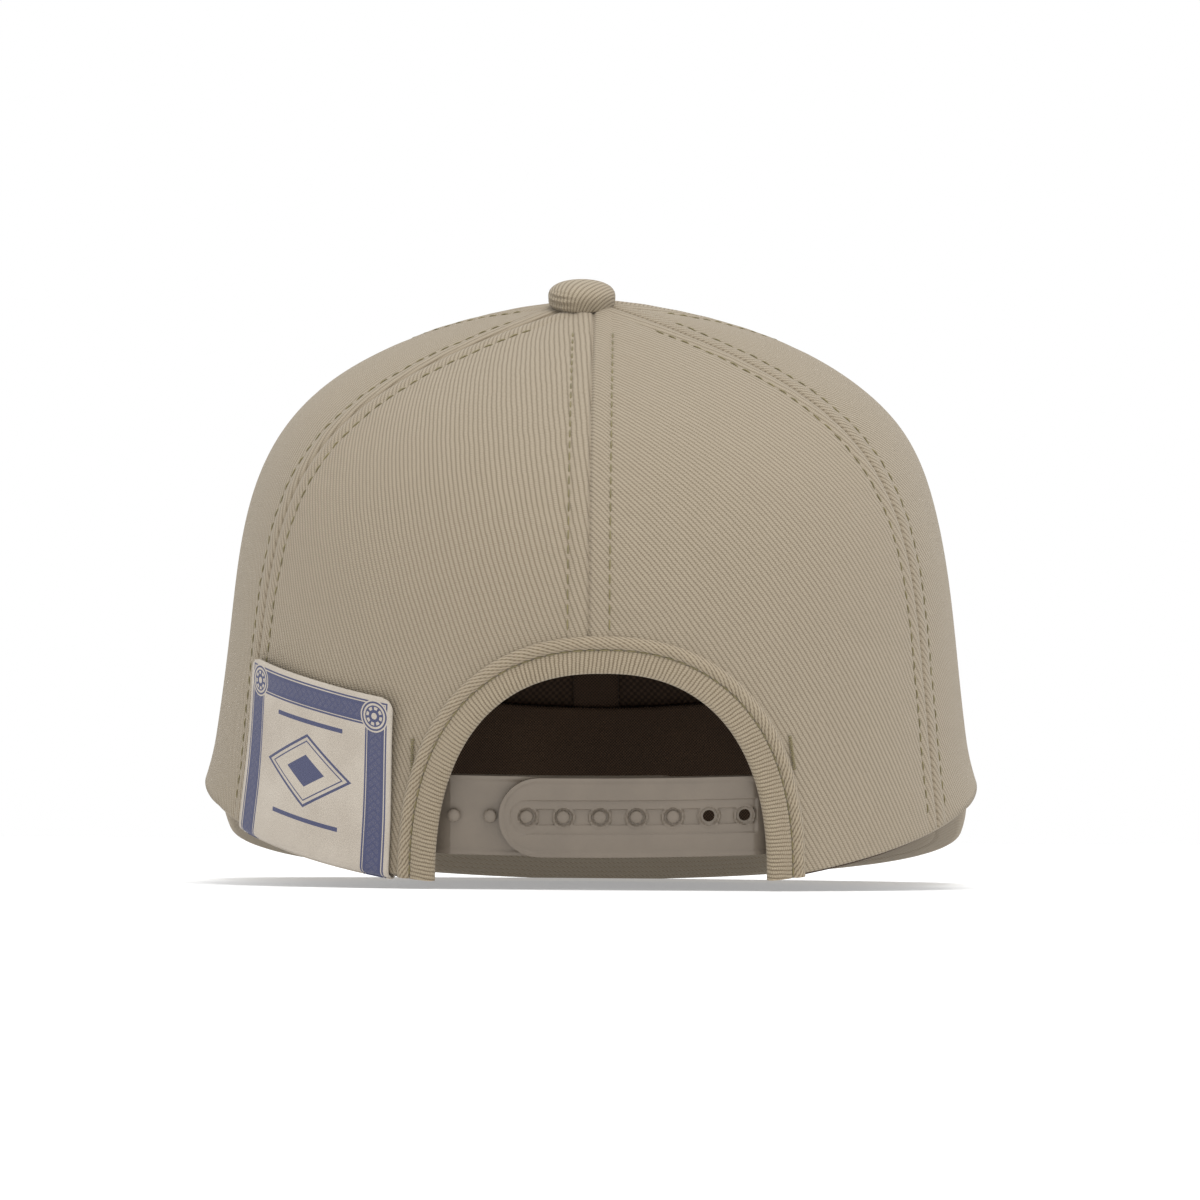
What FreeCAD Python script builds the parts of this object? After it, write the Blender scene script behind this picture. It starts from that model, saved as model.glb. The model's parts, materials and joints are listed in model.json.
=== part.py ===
"""Flat-brim baseball cap with a moulded snap closure, standing on its brim edge and rear rim.

Everything is first described in the crown frame: the origin is the centre of the rim, +Z is the
crown's axis, +Y points to the brim and +X to the wearer's right. One common placement then tips
the whole cap back until the brim's front edge and the rear of the rim stand on the floor, z = 0.

An angle round the crown is measured from the back seam, positive to +X; 180 is the front seam.
A height along a crown meridian is a fraction: 0 at the rim, 1 at the apex, below 0 at the front,
where the panels run on down to the brim.
"""
import FreeCAD, Part
import Sketcher
import math
import os

Vector = FreeCAD.Vector
SHEET = "Dimensions"

DIMENSIONS = [
    # Crown, outside of the cloth
    ("crown_half_width", 92.7, "rim centre to side"),
    ("crown_back", 94.0, "rim centre to back"),
    ("crown_front", 96.5, "rim centre to front"),
    ("crown_height", 123.5, "rim plane to apex"),
    ("apex_shift", -12.0, "apex behind the rim centre"),
    ("side_rise", 4.6, "rim is higher at the sides"),
    ("lean_side", 10.0, "inward lean of the wall in degrees"),
    ("lean_back", 4.0, "inward lean of the wall in degrees"),
    ("lean_front", 10.0, "inward lean of the wall in degrees"),
    ("wall_pull_side", 79.0, "length of straight wall pull"),
    ("wall_pull_back", 62.5, "length of straight wall pull"),
    ("wall_pull_front", 76.0, "length of straight wall pull"),
    ("top_pull_side", 95.0, "length of flat top pull"),
    ("top_pull_back", 95.0, "length of flat top pull"),
    ("top_pull_front", 74.0, "length of flat top pull"),
    ("top_slope_back", 15.0, "fall of the top to the back in degrees"),
    ("top_slope_front", 5.5, "fall of the top to the front in degrees"),
    ("rear_seam_angle", 61.5, "back to side panel seam in degrees"),
    ("front_seam_angle", 120.0, "side to front panel seam in degrees"),
    # Layers, as depths below the outside of the cloth
    ("cloth", 0.8, "panel cloth thickness"),
    ("layer_gap", 0.1, "air between layers"),
    ("buckram", 0.7, "front liner thickness"),
    ("buckram_margin", 4.0, "front liner's edge to the panel seam"),
    ("buckram_start", 0.01, "height fraction from the lower edge to the liners"),
    ("buckram_end", 0.93, "height fraction where the liners end"),
    ("tape", 0.5, "seam tape thickness"),
    ("tape_depth", 1.1, "depth of the tapes' outer face, deeper by the liner at the front"),
    ("tape_start", 0.015, "height fraction from the lower edge to the tapes"),
    ("tape_end", 0.935, "height fraction where the tapes end"),
    ("tape_width", 12.0, "seam tape width"),
    ("band_depth", 2.5, "depth of the sweatband's outer face"),
    ("band", 1.0, "sweatband thickness"),
    ("band_height", 32.0, "sweatband height"),
    ("band_start", 0.02, "share of the band's height left free at the lower edge"),
    ("eyelet_free", 0.98, "height fraction where the panel tips end"),
    # Arch opening at the back
    ("arch_half_width", 37.9, "half the clear width"),
    ("arch_height", 49.7, "clear height above the rim"),
    ("arch_power", 2.33, "squareness of the arch"),
    ("arch_shift", 3.1, "arch centre to the +X side of the seam"),
    ("binding_width", 8.1, "outer leaf width"),
    ("binding_leaf", 0.9, "binding leaf thickness"),
    ("binding_lining", 0.6, "inner leaf thickness"),
    ("binding_gap", 0.25, "air between a leaf and the cloth"),
    ("binding_foot", 1.0, "binding end above the rim plane"),
    ("binding_clear", 1.5, "sweatband ends this far beyond the binding"),
    # Snap closure
    ("strap_height", 18.3, "strap height"),
    ("strap_level", 15.0, "strap centre above the rim plane"),
    ("strap", 1.3, "strap thickness"),
    ("strap_radius", 250.0, "outer face radius"),
    ("strap_depth", 3.4, "depth of the strap's outer face at its sewn end"),
    ("strap_gap", 0.3, "air between the two straps"),
    ("bead", 0.3, "height of the edge beads"),
    ("bead_width", 1.0, "width of the edge beads"),
    ("snap_pitch", 8.25, "hole and peg pitch"),
    ("snap_count", 7, "holes and pegs"),
    ("snap_first", -13.7, "x of the hole nearest the free end"),
    ("hole_radius", 1.5, "through hole radius"),
    ("peg_radius", 1.15, "peg radius"),
    ("peg_height", 1.7, "peg height"),
    ("peg_root", 0.2, "peg root sunk into the strap"),
    ("tip", 6.4, "free end beyond the last hole or peg"),
    ("tip_flat", 0.4, "straight part at the middle of the rounded end"),
    ("end_relief", 2.2, "chamfer on the corners at the sewn end"),
    ("strap_hinge", 2.0, "flex line inside the binding's foot, clear of its narrower part above"),
    ("tab_gap", 0.8, "air between a strap's end face and its tab"),
    ("tab_reach", 8.0, "sewn end, out to behind the binding"),
    ("tab_inset", 0.5, "tab's edges inside the strap's"),
    # Brim, in its own plane
    ("brim_slope", 23.7, "fall of the brim below the rim plane in degrees"),
    ("brim_root", 25.0, "y where the brim plane leaves the rim"),
    ("brim_root_level", 4.5, "z where the brim plane leaves the rim"),
    ("brim_length", 149.1, "root line to front edge along the brim"),
    ("brim_half_width", 96.0, "widest half width"),
    ("brim_widest", 80.0, "root line to the widest place"),
    ("brim_corner", 55.0, "corner arc radius"),
    ("brim_heel", 6.0, "start of the brim behind the root line"),
    ("brim_heel_half_width", 91.5, "half width at the heel"),
    ("board", 1.8, "brim board thickness"),
    ("cover", 0.6, "brim cover thickness"),
    ("brim_lip", 1.2, "cover beyond the board's edge"),
    ("throat_gap", 0.5, "air between the sweatband and the brim's inner edge"),
    ("throat_spread", 1.5, "the brim's opening is wider than the crown, each side"),
    ("board_setback", 0.6, "board's inner edge behind the covers' inner edge"),
    # Button
    ("button_shift", -2.85, "button beside the middle line"),
    ("button_radius", 7.9, "covered button radius"),
    ("button_rise", 4.8, "top of the button above the apex"),
    ("button_round", 3.6, "edge rounding"),
    ("button_cloth", 0.6, "cover thickness"),
    ("button_metal", 0.5, "shell thickness"),
    ("button_lift", 0.3, "lower edge above the apex level"),
    ("rivet_radius", 1.5, "rivet shank radius"),
    ("rivet_head", 2.6, "clinched end radius"),
    ("clinch", 0.8, "clinched end thickness"),
    ("rivet_clear", 0.4, "air between the rivet and the shell"),
    ("washer_radius", 6.0, "inner washer radius"),
    ("washer_level", 2.9, "washer top below the apex"),
    ("washer", 0.6, "washer thickness"),
    # Label folded over the rim
    ("label_from", -60.5, "angle of the left edge in degrees"),
    ("label_to", -28.5, "angle of the right edge in degrees"),
    ("label_height", 40.3, "outer leaf height"),
    ("label_tail", 12.0, "inner leaf height"),
    ("label", 0.5, "label thickness"),
    ("label_stand", 0.9, "outer leaf clear of the cloth"),
    ("label_drop", 0.9, "fold below the rim"),
    ("label_start", 0.002, "height fraction where the outer leaf starts"),
    # Stance
    ("stance_tilt", 13.0, "cap tips back on its brim edge in degrees"),
]

os.makedirs("parts", exist_ok=True)
doc = FreeCAD.newDocument("baseball_cap")
sheet = doc.addObject("Spreadsheet::Sheet", SHEET)
for row, (alias, value, meaning) in enumerate(DIMENSIONS, 1):
    sheet.set(f"A{row}", meaning)
    sheet.set(f"B{row}", str(value))
    sheet.setAlias(f"B{row}", alias)
doc.recompute()


class Sizes:
    """Reads a driving dimension by its alias: size.crown_height."""

    def __getattr__(self, alias):
        return float(sheet.get(alias))


size = Sizes()
sub_parts = []


# ---------------------------------------------------------------- crown surface

def blend_round(side, back, front, cosine):
    """A quantity that has its own value at the side, the back and the front."""
    facing = cosine * cosine
    end = back if cosine > 0 else front
    return side * (1 - facing) + end * facing


def meridian(angle):
    """The numbers that describe the crown's outline at one angle."""
    sine = math.sin(math.radians(angle))
    cosine = math.cos(math.radians(angle))
    depth = size.crown_back if cosine > 0 else size.crown_front
    radius = 1 / math.sqrt((sine / size.crown_half_width) ** 2 + (cosine / depth) ** 2)
    lean = math.radians(blend_round(size.lean_side, size.lean_back, size.lean_front, cosine))
    wall = blend_round(size.wall_pull_side, size.wall_pull_back, size.wall_pull_front, cosine)
    top = blend_round(size.top_pull_side, size.top_pull_back, size.top_pull_front, cosine)
    slope = math.radians(size.top_slope_back * (1 + cosine) / 2 + size.top_slope_front * (1 - cosine) / 2)
    foot = size.side_rise * (1 - cosine * cosine)
    return sine, cosine, radius, lean, wall, top, slope, foot


def crown_point(angle, height):
    """A point on the outside of the crown's cloth: a cubic curve from the rim to the apex."""
    sine, cosine, radius, lean, wall, top, slope, foot = meridian(angle)
    up = max(height, 0.0)
    below = min(height, 0.0)
    first = (1 - up) ** 3
    second = 3 * (1 - up) ** 2 * up
    third = 3 * (1 - up) * up * up
    reach = first * radius + second * (radius - wall * math.sin(lean)) + third * top
    reach -= 3 * below * wall * math.sin(lean)
    level = first * foot + second * (foot + wall * math.cos(lean))
    level += third * (size.crown_height - top * math.tan(slope)) + up ** 3 * size.crown_height
    level += 3 * below * wall * math.cos(lean)
    drift = size.apex_shift * up * up * (3 - 2 * up)
    return Vector(reach * sine, drift - reach * cosine, level)


def outward(angle, height):
    """The crown's outward normal."""
    step = 0.01
    around = crown_point(angle + 100 * step, height) - crown_point(angle - 100 * step, height)
    upward = crown_point(angle, height + step) - crown_point(angle, height - step)
    return around.cross(upward).normalize()


def layer_point(angle, height, depth):
    """A point at a depth below the outside of the cloth; a negative depth is outside it."""
    return crown_point(angle, height) - outward(angle, height) * depth


CUTTER_BEHIND = 200.0   # the arch cutter starts this far behind the crown's middle
CUTTER_LENGTH = 160.0
CUTTER_BELOW = 20.0     # and goes this far below the rim
CUTTER_POINTS = 36
SEARCH_FROM, SEARCH_TO = -0.3, 0.95     # height fractions between which a level is looked for
HALVINGS = 40          # steps of a search by halving
SEAT_LIFT = 0.9        # crown edge, on its outside, above the brim's top plane
EDGE_SOFTNESS = 0.005  # rounds the turn from rim to brim, as a height fraction


def lower_edge(angle):
    """Height fraction of the crown's lower edge: the rim, or the brim plane at the front."""
    cosine, radius, lean, wall, foot = (meridian(angle)[i] for i in (1, 2, 3, 4, 7))
    fall = math.tan(math.radians(size.brim_slope))
    seat = size.brim_root_level + SEAT_LIFT + size.brim_root * fall + cosine * radius * fall
    rate = 3 * wall * (math.cos(lean) + math.sin(lean) * cosine * fall)
    meet = (seat - foot) / rate
    return (meet - math.sqrt(meet * meet + EDGE_SOFTNESS ** 2)) / 2


STEEPENING = 1.05      # the meridian climbs this much slower over a leaf's height than at the rim


def height_step(angle, distance):
    """Height fraction that a distance up the wall from the rim takes."""
    return distance * STEEPENING / (3 * meridian(angle)[4])


def height_at_level(angle, level):
    """Height fraction where the crown's outside reaches a level."""
    low, high = SEARCH_FROM, SEARCH_TO
    for _ in range(HALVINGS):
        middle = (low + high) / 2
        if crown_point(angle, middle).z < level:
            low = middle
        else:
            high = middle
    return (low + high) / 2


# ---------------------------------------------------------------- building blocks

def common_placement():
    """Tips the cap back by the stance tilt; stand_on_floor adds the shift."""
    return FreeCAD.Placement(Vector(0, 0, 0), FreeCAD.Rotation(Vector(1, 0, 0), size.stance_tilt))


def keep(sub_part, local=None):
    """Registers a sub-part with its placement in the crown frame."""
    sub_parts.append((sub_part, local or FreeCAD.Placement()))
    return sub_part


def skin(grid):
    surface = Part.BSplineSurface()
    surface.interpolate(grid)
    return surface.toShape()


def solid_between(outer_grid, inner_grid):
    """A closed solid between two grids of points that match one to one."""
    outer = skin(outer_grid)
    inner = skin(inner_grid)
    walls = [Part.makeRuledSurface(a, b) for a, b in zip(outer.Edges, inner.Edges)]
    shell = Part.makeShell([outer, inner] + walls)
    shell.sewShape()
    solid = Part.makeSolid(shell)
    if solid.Volume < 0:
        solid.reverse()
    return solid


def layer_solid(angles, heights, top_depth, thickness):
    """A piece of a layer; heights(angle, share) gives a height fraction for a share from 0 to 1."""
    shares = [i / 12 for i in range(13)]
    grids = []
    for depth in (top_depth, top_depth + thickness):
        grids.append([[layer_point(a, heights(a, s), depth) for s in shares] for a in angles])
    return solid_between(*grids)


def spread(first, last, step):
    """Evenly spaced values from first to last, about one step apart."""
    count = max(3, math.ceil(abs(last - first) / step))
    return [first + (last - first) * i / count for i in range(count + 1)]


def add_shape(name, shape):
    feature = doc.addObject("Part::Feature", name)
    feature.Label = name
    feature.Shape = shape
    return keep(feature)


def new_body(name, local=None):
    body = doc.addObject("PartDesign::Body", name)
    body.Label = name
    return keep(body, local)


def new_sketch(body, role, name, offset=None):
    plane = next(f for f in body.Origin.OriginFeatures if f.Role == role)
    sketch = body.newObject("Sketcher::SketchObject", f"{body.Name}_{name}")
    sketch.AttachmentSupport = [(plane, "")]
    sketch.MapMode = "FlatFace"
    if offset:
        sketch.AttachmentOffset = FreeCAD.Placement(Vector(0, 0, 0), FreeCAD.Rotation())
        sketch.setExpression("AttachmentOffset.Base.z", offset)
    return sketch


def value(expression):
    """What a bound expression is worth now."""
    return float(sheet.evalExpression(expression))


def linked(expression):
    """Puts the sheet's name before each alias of an expression."""
    words = []
    for word in expression.replace("(", " ( ").replace(")", " ) ").split():
        known = any(word == alias for alias, _, _ in DIMENSIONS)
        words.append(f"{SHEET}.{word}" if known else word)
    return " ".join(words)


def draw_polygon(sketch, corners):
    """A closed polygon whose corners are pairs of expressions, each bound by a constraint."""
    points = [Vector(value(linked(a)), value(linked(b)), 0) for a, b in corners]
    count = len(points)
    for i in range(count):
        sketch.addGeometry(Part.LineSegment(points[i], points[(i + 1) % count]))
    for i in range(count):
        sketch.addConstraint(Sketcher.Constraint("Coincident", i, 2, (i + 1) % count, 1))
    for i, (across, along) in enumerate(corners):
        for kind, expression, axis in (("DistanceX", across, -2), ("DistanceY", along, -1)):
            number = value(linked(expression))
            if abs(number) < 1e-9:
                sketch.addConstraint(Sketcher.Constraint("PointOnObject", i, 1, axis))
                continue
            index = sketch.addConstraint(Sketcher.Constraint(kind, -1, 1, i, 1, number))
            sketch.setExpression(f"Constraints[{index}]", linked(expression))


def draw_circle(sketch, radius):
    sketch.addGeometry(Part.Circle(Vector(0, 0, 0), Vector(0, 0, 1), value(linked(radius))))
    sketch.addConstraint(Sketcher.Constraint("Coincident", 0, 3, -1, 1))
    index = sketch.addConstraint(Sketcher.Constraint("Radius", 0, value(linked(radius))))
    sketch.setExpression(f"Constraints[{index}]", linked(radius))


def pad(body, sketch, length, backwards=False):
    feature = body.newObject("PartDesign::Pad", f"{sketch.Name}_pad")
    feature.Profile = sketch
    feature.setExpression("Length", linked(length))
    feature.Reversed = backwards
    return feature


def pocket_through(body, sketch):
    feature = body.newObject("PartDesign::Pocket", f"{sketch.Name}_pocket")
    feature.Profile = sketch
    feature.Type = 1
    feature.Midplane = True
    return feature


# ---------------------------------------------------------------- crown cloth

SEAM_SLIT = 0.08      # half the slit between neighbouring panels, in degrees
PANEL_STEP = 3.5      # spacing of the meridians that shape a panel, in degrees


def arch_outline(grow):
    """Half width and height of the arch, grown by a distance."""
    return size.arch_half_width + grow, size.arch_height + grow


def arch_points(grow, count):
    """Points of the arch in the XZ plane, from the +X foot over the top to the -X foot."""
    half, high = arch_outline(grow)
    points = []
    for i in range(count + 1):
        turn = math.pi * i / count
        x = math.copysign(abs(math.cos(turn)) ** (2 / size.arch_power), math.cos(turn))
        z = math.sin(turn) ** (2 / size.arch_power) if 0 < i < count else 0.0
        points.append(Vector(size.arch_shift + half * x, 0, high * z))
    return points


def arch_cutter(grow):
    """A prism that cuts the arch out of the back of the crown."""
    outline = [p + Vector(0, -CUTTER_BEHIND, 0) for p in arch_points(grow, CUTTER_POINTS)]
    curve = Part.BSplineCurve()
    curve.interpolate(outline)
    drop = Vector(0, 0, -CUTTER_BELOW)
    legs = Part.makePolygon([outline[-1], outline[-1] + drop, outline[0] + drop, outline[0]])
    wire = Part.Wire([curve.toShape()] + legs.Edges)
    return Part.Face(wire).extrude(Vector(0, CUTTER_LENGTH, 0))


def make_panels():
    """Six cloth panels; the two at the back lose the arch."""
    seams = [0.0, size.rear_seam_angle, size.front_seam_angle, 180.0]
    names = ["back_panel", "side_panel", "front_panel"]
    edge_inset = size.binding_leaf + size.binding_gap

    def heights(angle, share):
        low = lower_edge(angle)
        return low + (size.eyelet_free - low) * share

    for side, suffix in ((1, "right"), (-1, "left")):
        for name, start, end in zip(names, seams, seams[1:]):
            angles = spread(side * (start + SEAM_SLIT), side * (end - SEAM_SLIT), PANEL_STEP)
            solid = layer_solid(angles, heights, 0.0, size.cloth)
            if name == "back_panel":
                solid = solid.cut(arch_cutter(edge_inset))
            add_shape(f"{name}_{suffix}", solid.Solids[0])


def make_buckram():
    """Stiff liners behind the two front panels, short of the seams and of the brim."""
    seam_margin = math.degrees(size.buckram_margin / size.crown_half_width)

    def heights(angle, share):
        low = lower_edge(angle) + size.buckram_start
        return low + (size.buckram_end - low) * share

    for side, suffix in ((1, "right"), (-1, "left")):
        start = side * (size.front_seam_angle + seam_margin)
        end = side * (180 - SEAM_SLIT)
        angles = spread(start, end, PANEL_STEP)
        depth = size.cloth + size.layer_gap
        add_shape(f"front_buckram_{suffix}", layer_solid(angles, heights, depth, size.buckram))


def make_tapes():
    """Tapes over the inside of the six seams, stopping short of one another at the top."""
    seams = {
        "back": 0.0,
        "back_right": size.rear_seam_angle,
        "back_left": -size.rear_seam_angle,
        "front_right": size.front_seam_angle,
        "front_left": -size.front_seam_angle,
        "front": 180.0,
    }
    over_binding = size.arch_height + size.binding_width + size.binding_clear
    stations = 14
    shallow = size.tape_depth
    deep = shallow + size.buckram + size.layer_gap
    for name, seam in seams.items():
        depth = deep if name.startswith("front") else shallow
        if name == "back":
            start = height_at_level(0.0, over_binding)
        else:
            start = lower_edge(seam) + size.tape_start
        outer, inner = [], []
        for across in (-1.0, -0.5, 0.0, 0.5, 1.0):
            outer_row, inner_row = [], []
            for i in range(stations + 1):
                height = start + (size.tape_end - start) * i / stations
                centre = crown_point(seam, height)
                reach = math.hypot(centre.x, centre.y - size.apex_shift)
                angle = seam + math.degrees(across * size.tape_width / 2 / reach)
                outer_row.append(layer_point(angle, height, depth))
                inner_row.append(layer_point(angle, height, depth + size.tape))
            outer.append(outer_row)
            inner.append(inner_row)
        add_shape(f"seam_tape_{name}", solid_between(outer, inner))


def foot_angle(x):
    """Angle round the crown where the back of the rim is at this x."""
    low, high = -80.0, 80.0
    for _ in range(HALVINGS):
        middle = (low + high) / 2
        if crown_point(middle, 0.1).x < x:
            low = middle
        else:
            high = middle
    return (low + high) / 2


def make_sweatband():
    """A band round the inside of the rim, open behind the arch."""
    clear = size.arch_half_width + size.binding_width + size.binding_clear
    start = foot_angle(size.arch_shift + clear)
    end = 360 + foot_angle(size.arch_shift - clear)

    def heights(angle, share):
        return lower_edge(angle) + height_step(angle, size.band_height) * (size.band_start + share)

    angles = spread(start, end, 5.0)
    add_shape("sweatband", layer_solid(angles, heights, size.band_depth, size.band))


def make_binding():
    """Binding folded round the arch's edge: an outer leaf, the turn and an inner leaf."""
    leaf, gap = size.binding_leaf, size.binding_gap
    outside = -gap - leaf
    inside = size.cloth + gap + size.binding_lining
    # the section's corners: distance from the arch's clear edge, depth below the cloth's outside
    section = [
        (0.0, outside), (size.binding_width, outside), (size.binding_width, -gap),
        (leaf, -gap), (leaf, size.cloth + gap), (size.binding_width, size.cloth + gap),
        (size.binding_width, inside), (0.0, inside),
    ]
    count = 40
    inside_arch = Vector(size.arch_shift, 0, size.strap_level)
    edge = arch_points(0.0, count)
    lanes = [[] for _ in section]
    for i, point in enumerate(edge):
        before = edge[max(i - 1, 0)]
        after = edge[min(i + 1, count)]
        along = after - before
        away = Vector(along.z, 0, -along.x).normalize()
        if away.dot(point - inside_arch) < 0:
            away = away * -1
        level = max(point.z, size.binding_foot)
        angle, height = on_crown(point.x, level)
        normal = outward(angle, height)
        base = crown_point(angle, height)
        across = (away - normal * away.dot(normal)).normalize()
        for lane, (distance, depth) in zip(lanes, section):
            sag = distance * distance / (2 * size.crown_half_width) * abs(across.x)
            lane.append(base + across * distance - normal * (depth + sag))
    edges = []
    for lane in lanes:
        curve = Part.BSplineCurve()
        curve.interpolate(lane)
        edges.append(curve.toShape())
    faces = [Part.makeRuledSurface(a, b) for a, b in zip(edges, edges[1:] + edges[:1])]
    for end in (0, -1):
        ring = [lane[end] for lane in lanes]
        faces.append(Part.Face(Part.makePolygon(ring + ring[:1])))
    shell = Part.makeShell(faces)
    shell.sewShape()
    solid = Part.makeSolid(shell)
    if solid.Volume < 0:
        solid.reverse()
    add_shape("opening_binding", solid)


def on_crown(x, level):
    """Angle and height fraction of the crown's back at an x and a level."""
    angle = math.degrees(math.asin(x / size.crown_half_width))
    for _ in range(HALVINGS):
        height = height_at_level(angle, level)
        angle += math.degrees((x - crown_point(angle, height).x) / size.crown_half_width)
    return angle, height


# ---------------------------------------------------------------- snap closure

def strap_ends():
    """The flex lines' places: the strap's outer face at its sewn ends, right then left."""
    ends = []
    for side in (1, -1):
        x = size.arch_shift + side * (size.arch_half_width - size.strap_hinge)
        angle, height = on_crown(x, size.strap_level)
        point = layer_point(angle, height, size.strap_depth)
        ends.append(Vector(point.x, point.y, size.strap_level))
    return ends


def strap_arc():
    """Centre of the closure's arc, and its right and left ends."""
    right, left = strap_ends()
    chord = right - left
    half = chord.Length / 2
    inward = Vector(-chord.y, chord.x, 0).normalize()
    centre = (right + left) * 0.5 + inward * math.sqrt(size.strap_radius ** 2 - half ** 2)
    return centre, right, left


def arc_direction(centre, x):
    """Direction from the arc's centre to the strap at an x, in degrees from +X."""
    return -90 + math.degrees(math.asin((x - centre.x) / size.strap_radius))


def strap_placement(x):
    """Puts a strap body so that its own +X runs to the strap at an x."""
    centre = strap_arc()[0]
    return FreeCAD.Placement(centre, FreeCAD.Rotation(Vector(0, 0, 1), arc_direction(centre, x)))


def strap_body(name, outer, bead, start_x, back_angle, ahead_angle):
    """A curved strip with beaded edges, as a section turned about the arc's centre."""
    body = new_body(name, strap_placement(start_x))
    section = new_sketch(body, "XZ_Plane", "section")
    inner = f"{outer} - strap"
    half = "strap_height / 2"
    corners = [(inner, f"0 - {half}"), (bead, f"0 - {half}"), (bead, half), (inner, half)]
    if bead != outer:
        corners[2:2] = [
            (bead, f"bead_width - {half}"), (outer, f"bead_width - {half}"),
            (outer, f"{half} - bead_width"), (bead, f"{half} - bead_width"),
        ]
    draw_polygon(section, corners)
    strip = body.newObject("PartDesign::Revolution", f"{name}_strip")
    strip.Profile = section
    strip.ReferenceAxis = (section, ["V_Axis"])
    strip.Type = "TwoAngles"
    strip.setExpression("Angle", linked(ahead_angle))
    strip.setExpression("Angle2", linked(back_angle))
    doc.recompute()
    return body, strip


def end_corners(strip, direction):
    """Names of the two short edges at the corners of a strap's end."""
    nearly = 0.05
    edges = []
    for i, edge in enumerate(strip.Shape.Edges, 1):
        middle = edge.CenterOfMass
        turn = math.degrees(math.atan2(middle.y, middle.x))
        edges.append((direction * turn, abs(middle.z), f"Edge{i}"))
    furthest = max(turn for turn, _, _ in edges) - nearly
    outermost = size.strap_height / 2 - nearly
    return [name for turn, level, name in edges if turn > furthest and level > outermost]


def shape_ends(body, strip, free_side):
    """Rounds the free end to a half circle and chamfers the corners at the sewn end."""
    relief = body.newObject("PartDesign::Chamfer", f"{body.Name}_relief")
    relief.Base = (strip, end_corners(strip, -free_side))
    relief.setExpression("Size", linked("end_relief"))
    doc.recompute()
    fillet = body.newObject("PartDesign::Fillet", f"{body.Name}_round")
    fillet.Base = (relief, end_corners(relief, free_side))
    fillet.setExpression("Radius", linked("( strap_height - tip_flat ) / 2"))
    doc.recompute()


def pattern_snaps(body, feature):
    """Repeats a hole or peg along the strap."""
    pattern = body.newObject("PartDesign::PolarPattern", f"{feature.Name}_row")
    pattern.Originals = [feature]
    axis = next(f for f in body.Origin.OriginFeatures if f.Role == "Z_Axis")
    pattern.Axis = (axis, [""])
    turn = "snap_pitch / strap_radius * 180 / pi"
    pattern.setExpression("Angle", linked(f"{turn} * ( snap_count - 1 ) * 1 deg"))
    pattern.setExpression("Occurrences", linked("snap_count"))
    body.Tip = pattern
    doc.recompute()
    return pattern


def make_hole_strap():
    """The outer strap: sewn at the +X side, seven holes, round free end at the -X side."""
    right = strap_ends()[0]
    reach = right.x - size.layer_gap - size.snap_first
    turn = "180 / pi / strap_radius"
    body, strip = strap_body(
        "snap_strap_holes", "strap_radius", "strap_radius + bead", size.snap_first,
        f"tip * {turn} * 1 deg", f"{reach:.4f} * {turn} * 1 deg")
    shape_ends(body, strip, -1)
    circle = new_sketch(body, "YZ_Plane", "hole")
    draw_circle(circle, "hole_radius")
    hole = pocket_through(body, circle)
    doc.recompute()
    pattern_snaps(body, hole)


def make_peg_strap():
    """The inner strap: sewn at the -X side, seven pegs that stand outwards through the holes."""
    left = strap_ends()[1]
    last = size.snap_first + (size.snap_count - 3) * size.snap_pitch
    first = last - (size.snap_count - 1) * size.snap_pitch
    turn = "180 / pi / strap_radius"
    reach = first - left.x - size.layer_gap
    outer = "strap_radius - strap - strap_gap"
    ahead = f"( tip + snap_pitch * ( snap_count - 1 ) ) * {turn} * 1 deg"
    body, strip = strap_body(
        "snap_strap_pegs", outer, outer, first, f"{reach:.4f} * {turn} * 1 deg", ahead)
    shape_ends(body, strip, 1)
    circle = new_sketch(body, "YZ_Plane", "peg", linked(f"{outer} - peg_root"))
    draw_circle(circle, "peg_radius")
    peg = pad(body, circle, "peg_height + peg_root")
    doc.recompute()
    pattern_snaps(body, peg)


def make_tabs():
    """The straps' sewn ends, which follow the inside of the crown behind the binding."""
    gap = size.strap / 2 + size.tab_gap
    for name, side, depth in (
            ("hole_strap_tab", 1, size.strap_depth),
            ("peg_strap_tab", -1, size.strap_depth + size.strap + size.strap_gap)):
        hinge = size.arch_shift + side * (size.arch_half_width - size.strap_hinge)
        start = on_crown(hinge + side * gap, size.strap_level)[0]
        end = on_crown(hinge + side * (gap + size.tab_reach), size.strap_level)[0]
        low = size.strap_level - size.strap_height / 2 + size.tab_inset
        high = size.strap_level + size.strap_height / 2 - size.tab_inset

        def heights(angle, share, low=low, high=high):
            bottom = height_at_level(angle, low)
            return bottom + (height_at_level(angle, high) - bottom) * share

        angles = spread(start, end, 1.0)
        add_shape(name, layer_solid(angles, heights, depth, size.strap))


# ---------------------------------------------------------------- brim

def brim_placement(depth):
    """The brim plane's own frame: +Y down the brim, +Z out of its top, sunk by a depth."""
    turn = FreeCAD.Rotation(Vector(1, 0, 0), -size.brim_slope)
    root = Vector(0, size.brim_root, size.brim_root_level)
    return FreeCAD.Placement(root - turn.multVec(Vector(0, 0, depth)), turn)


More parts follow.
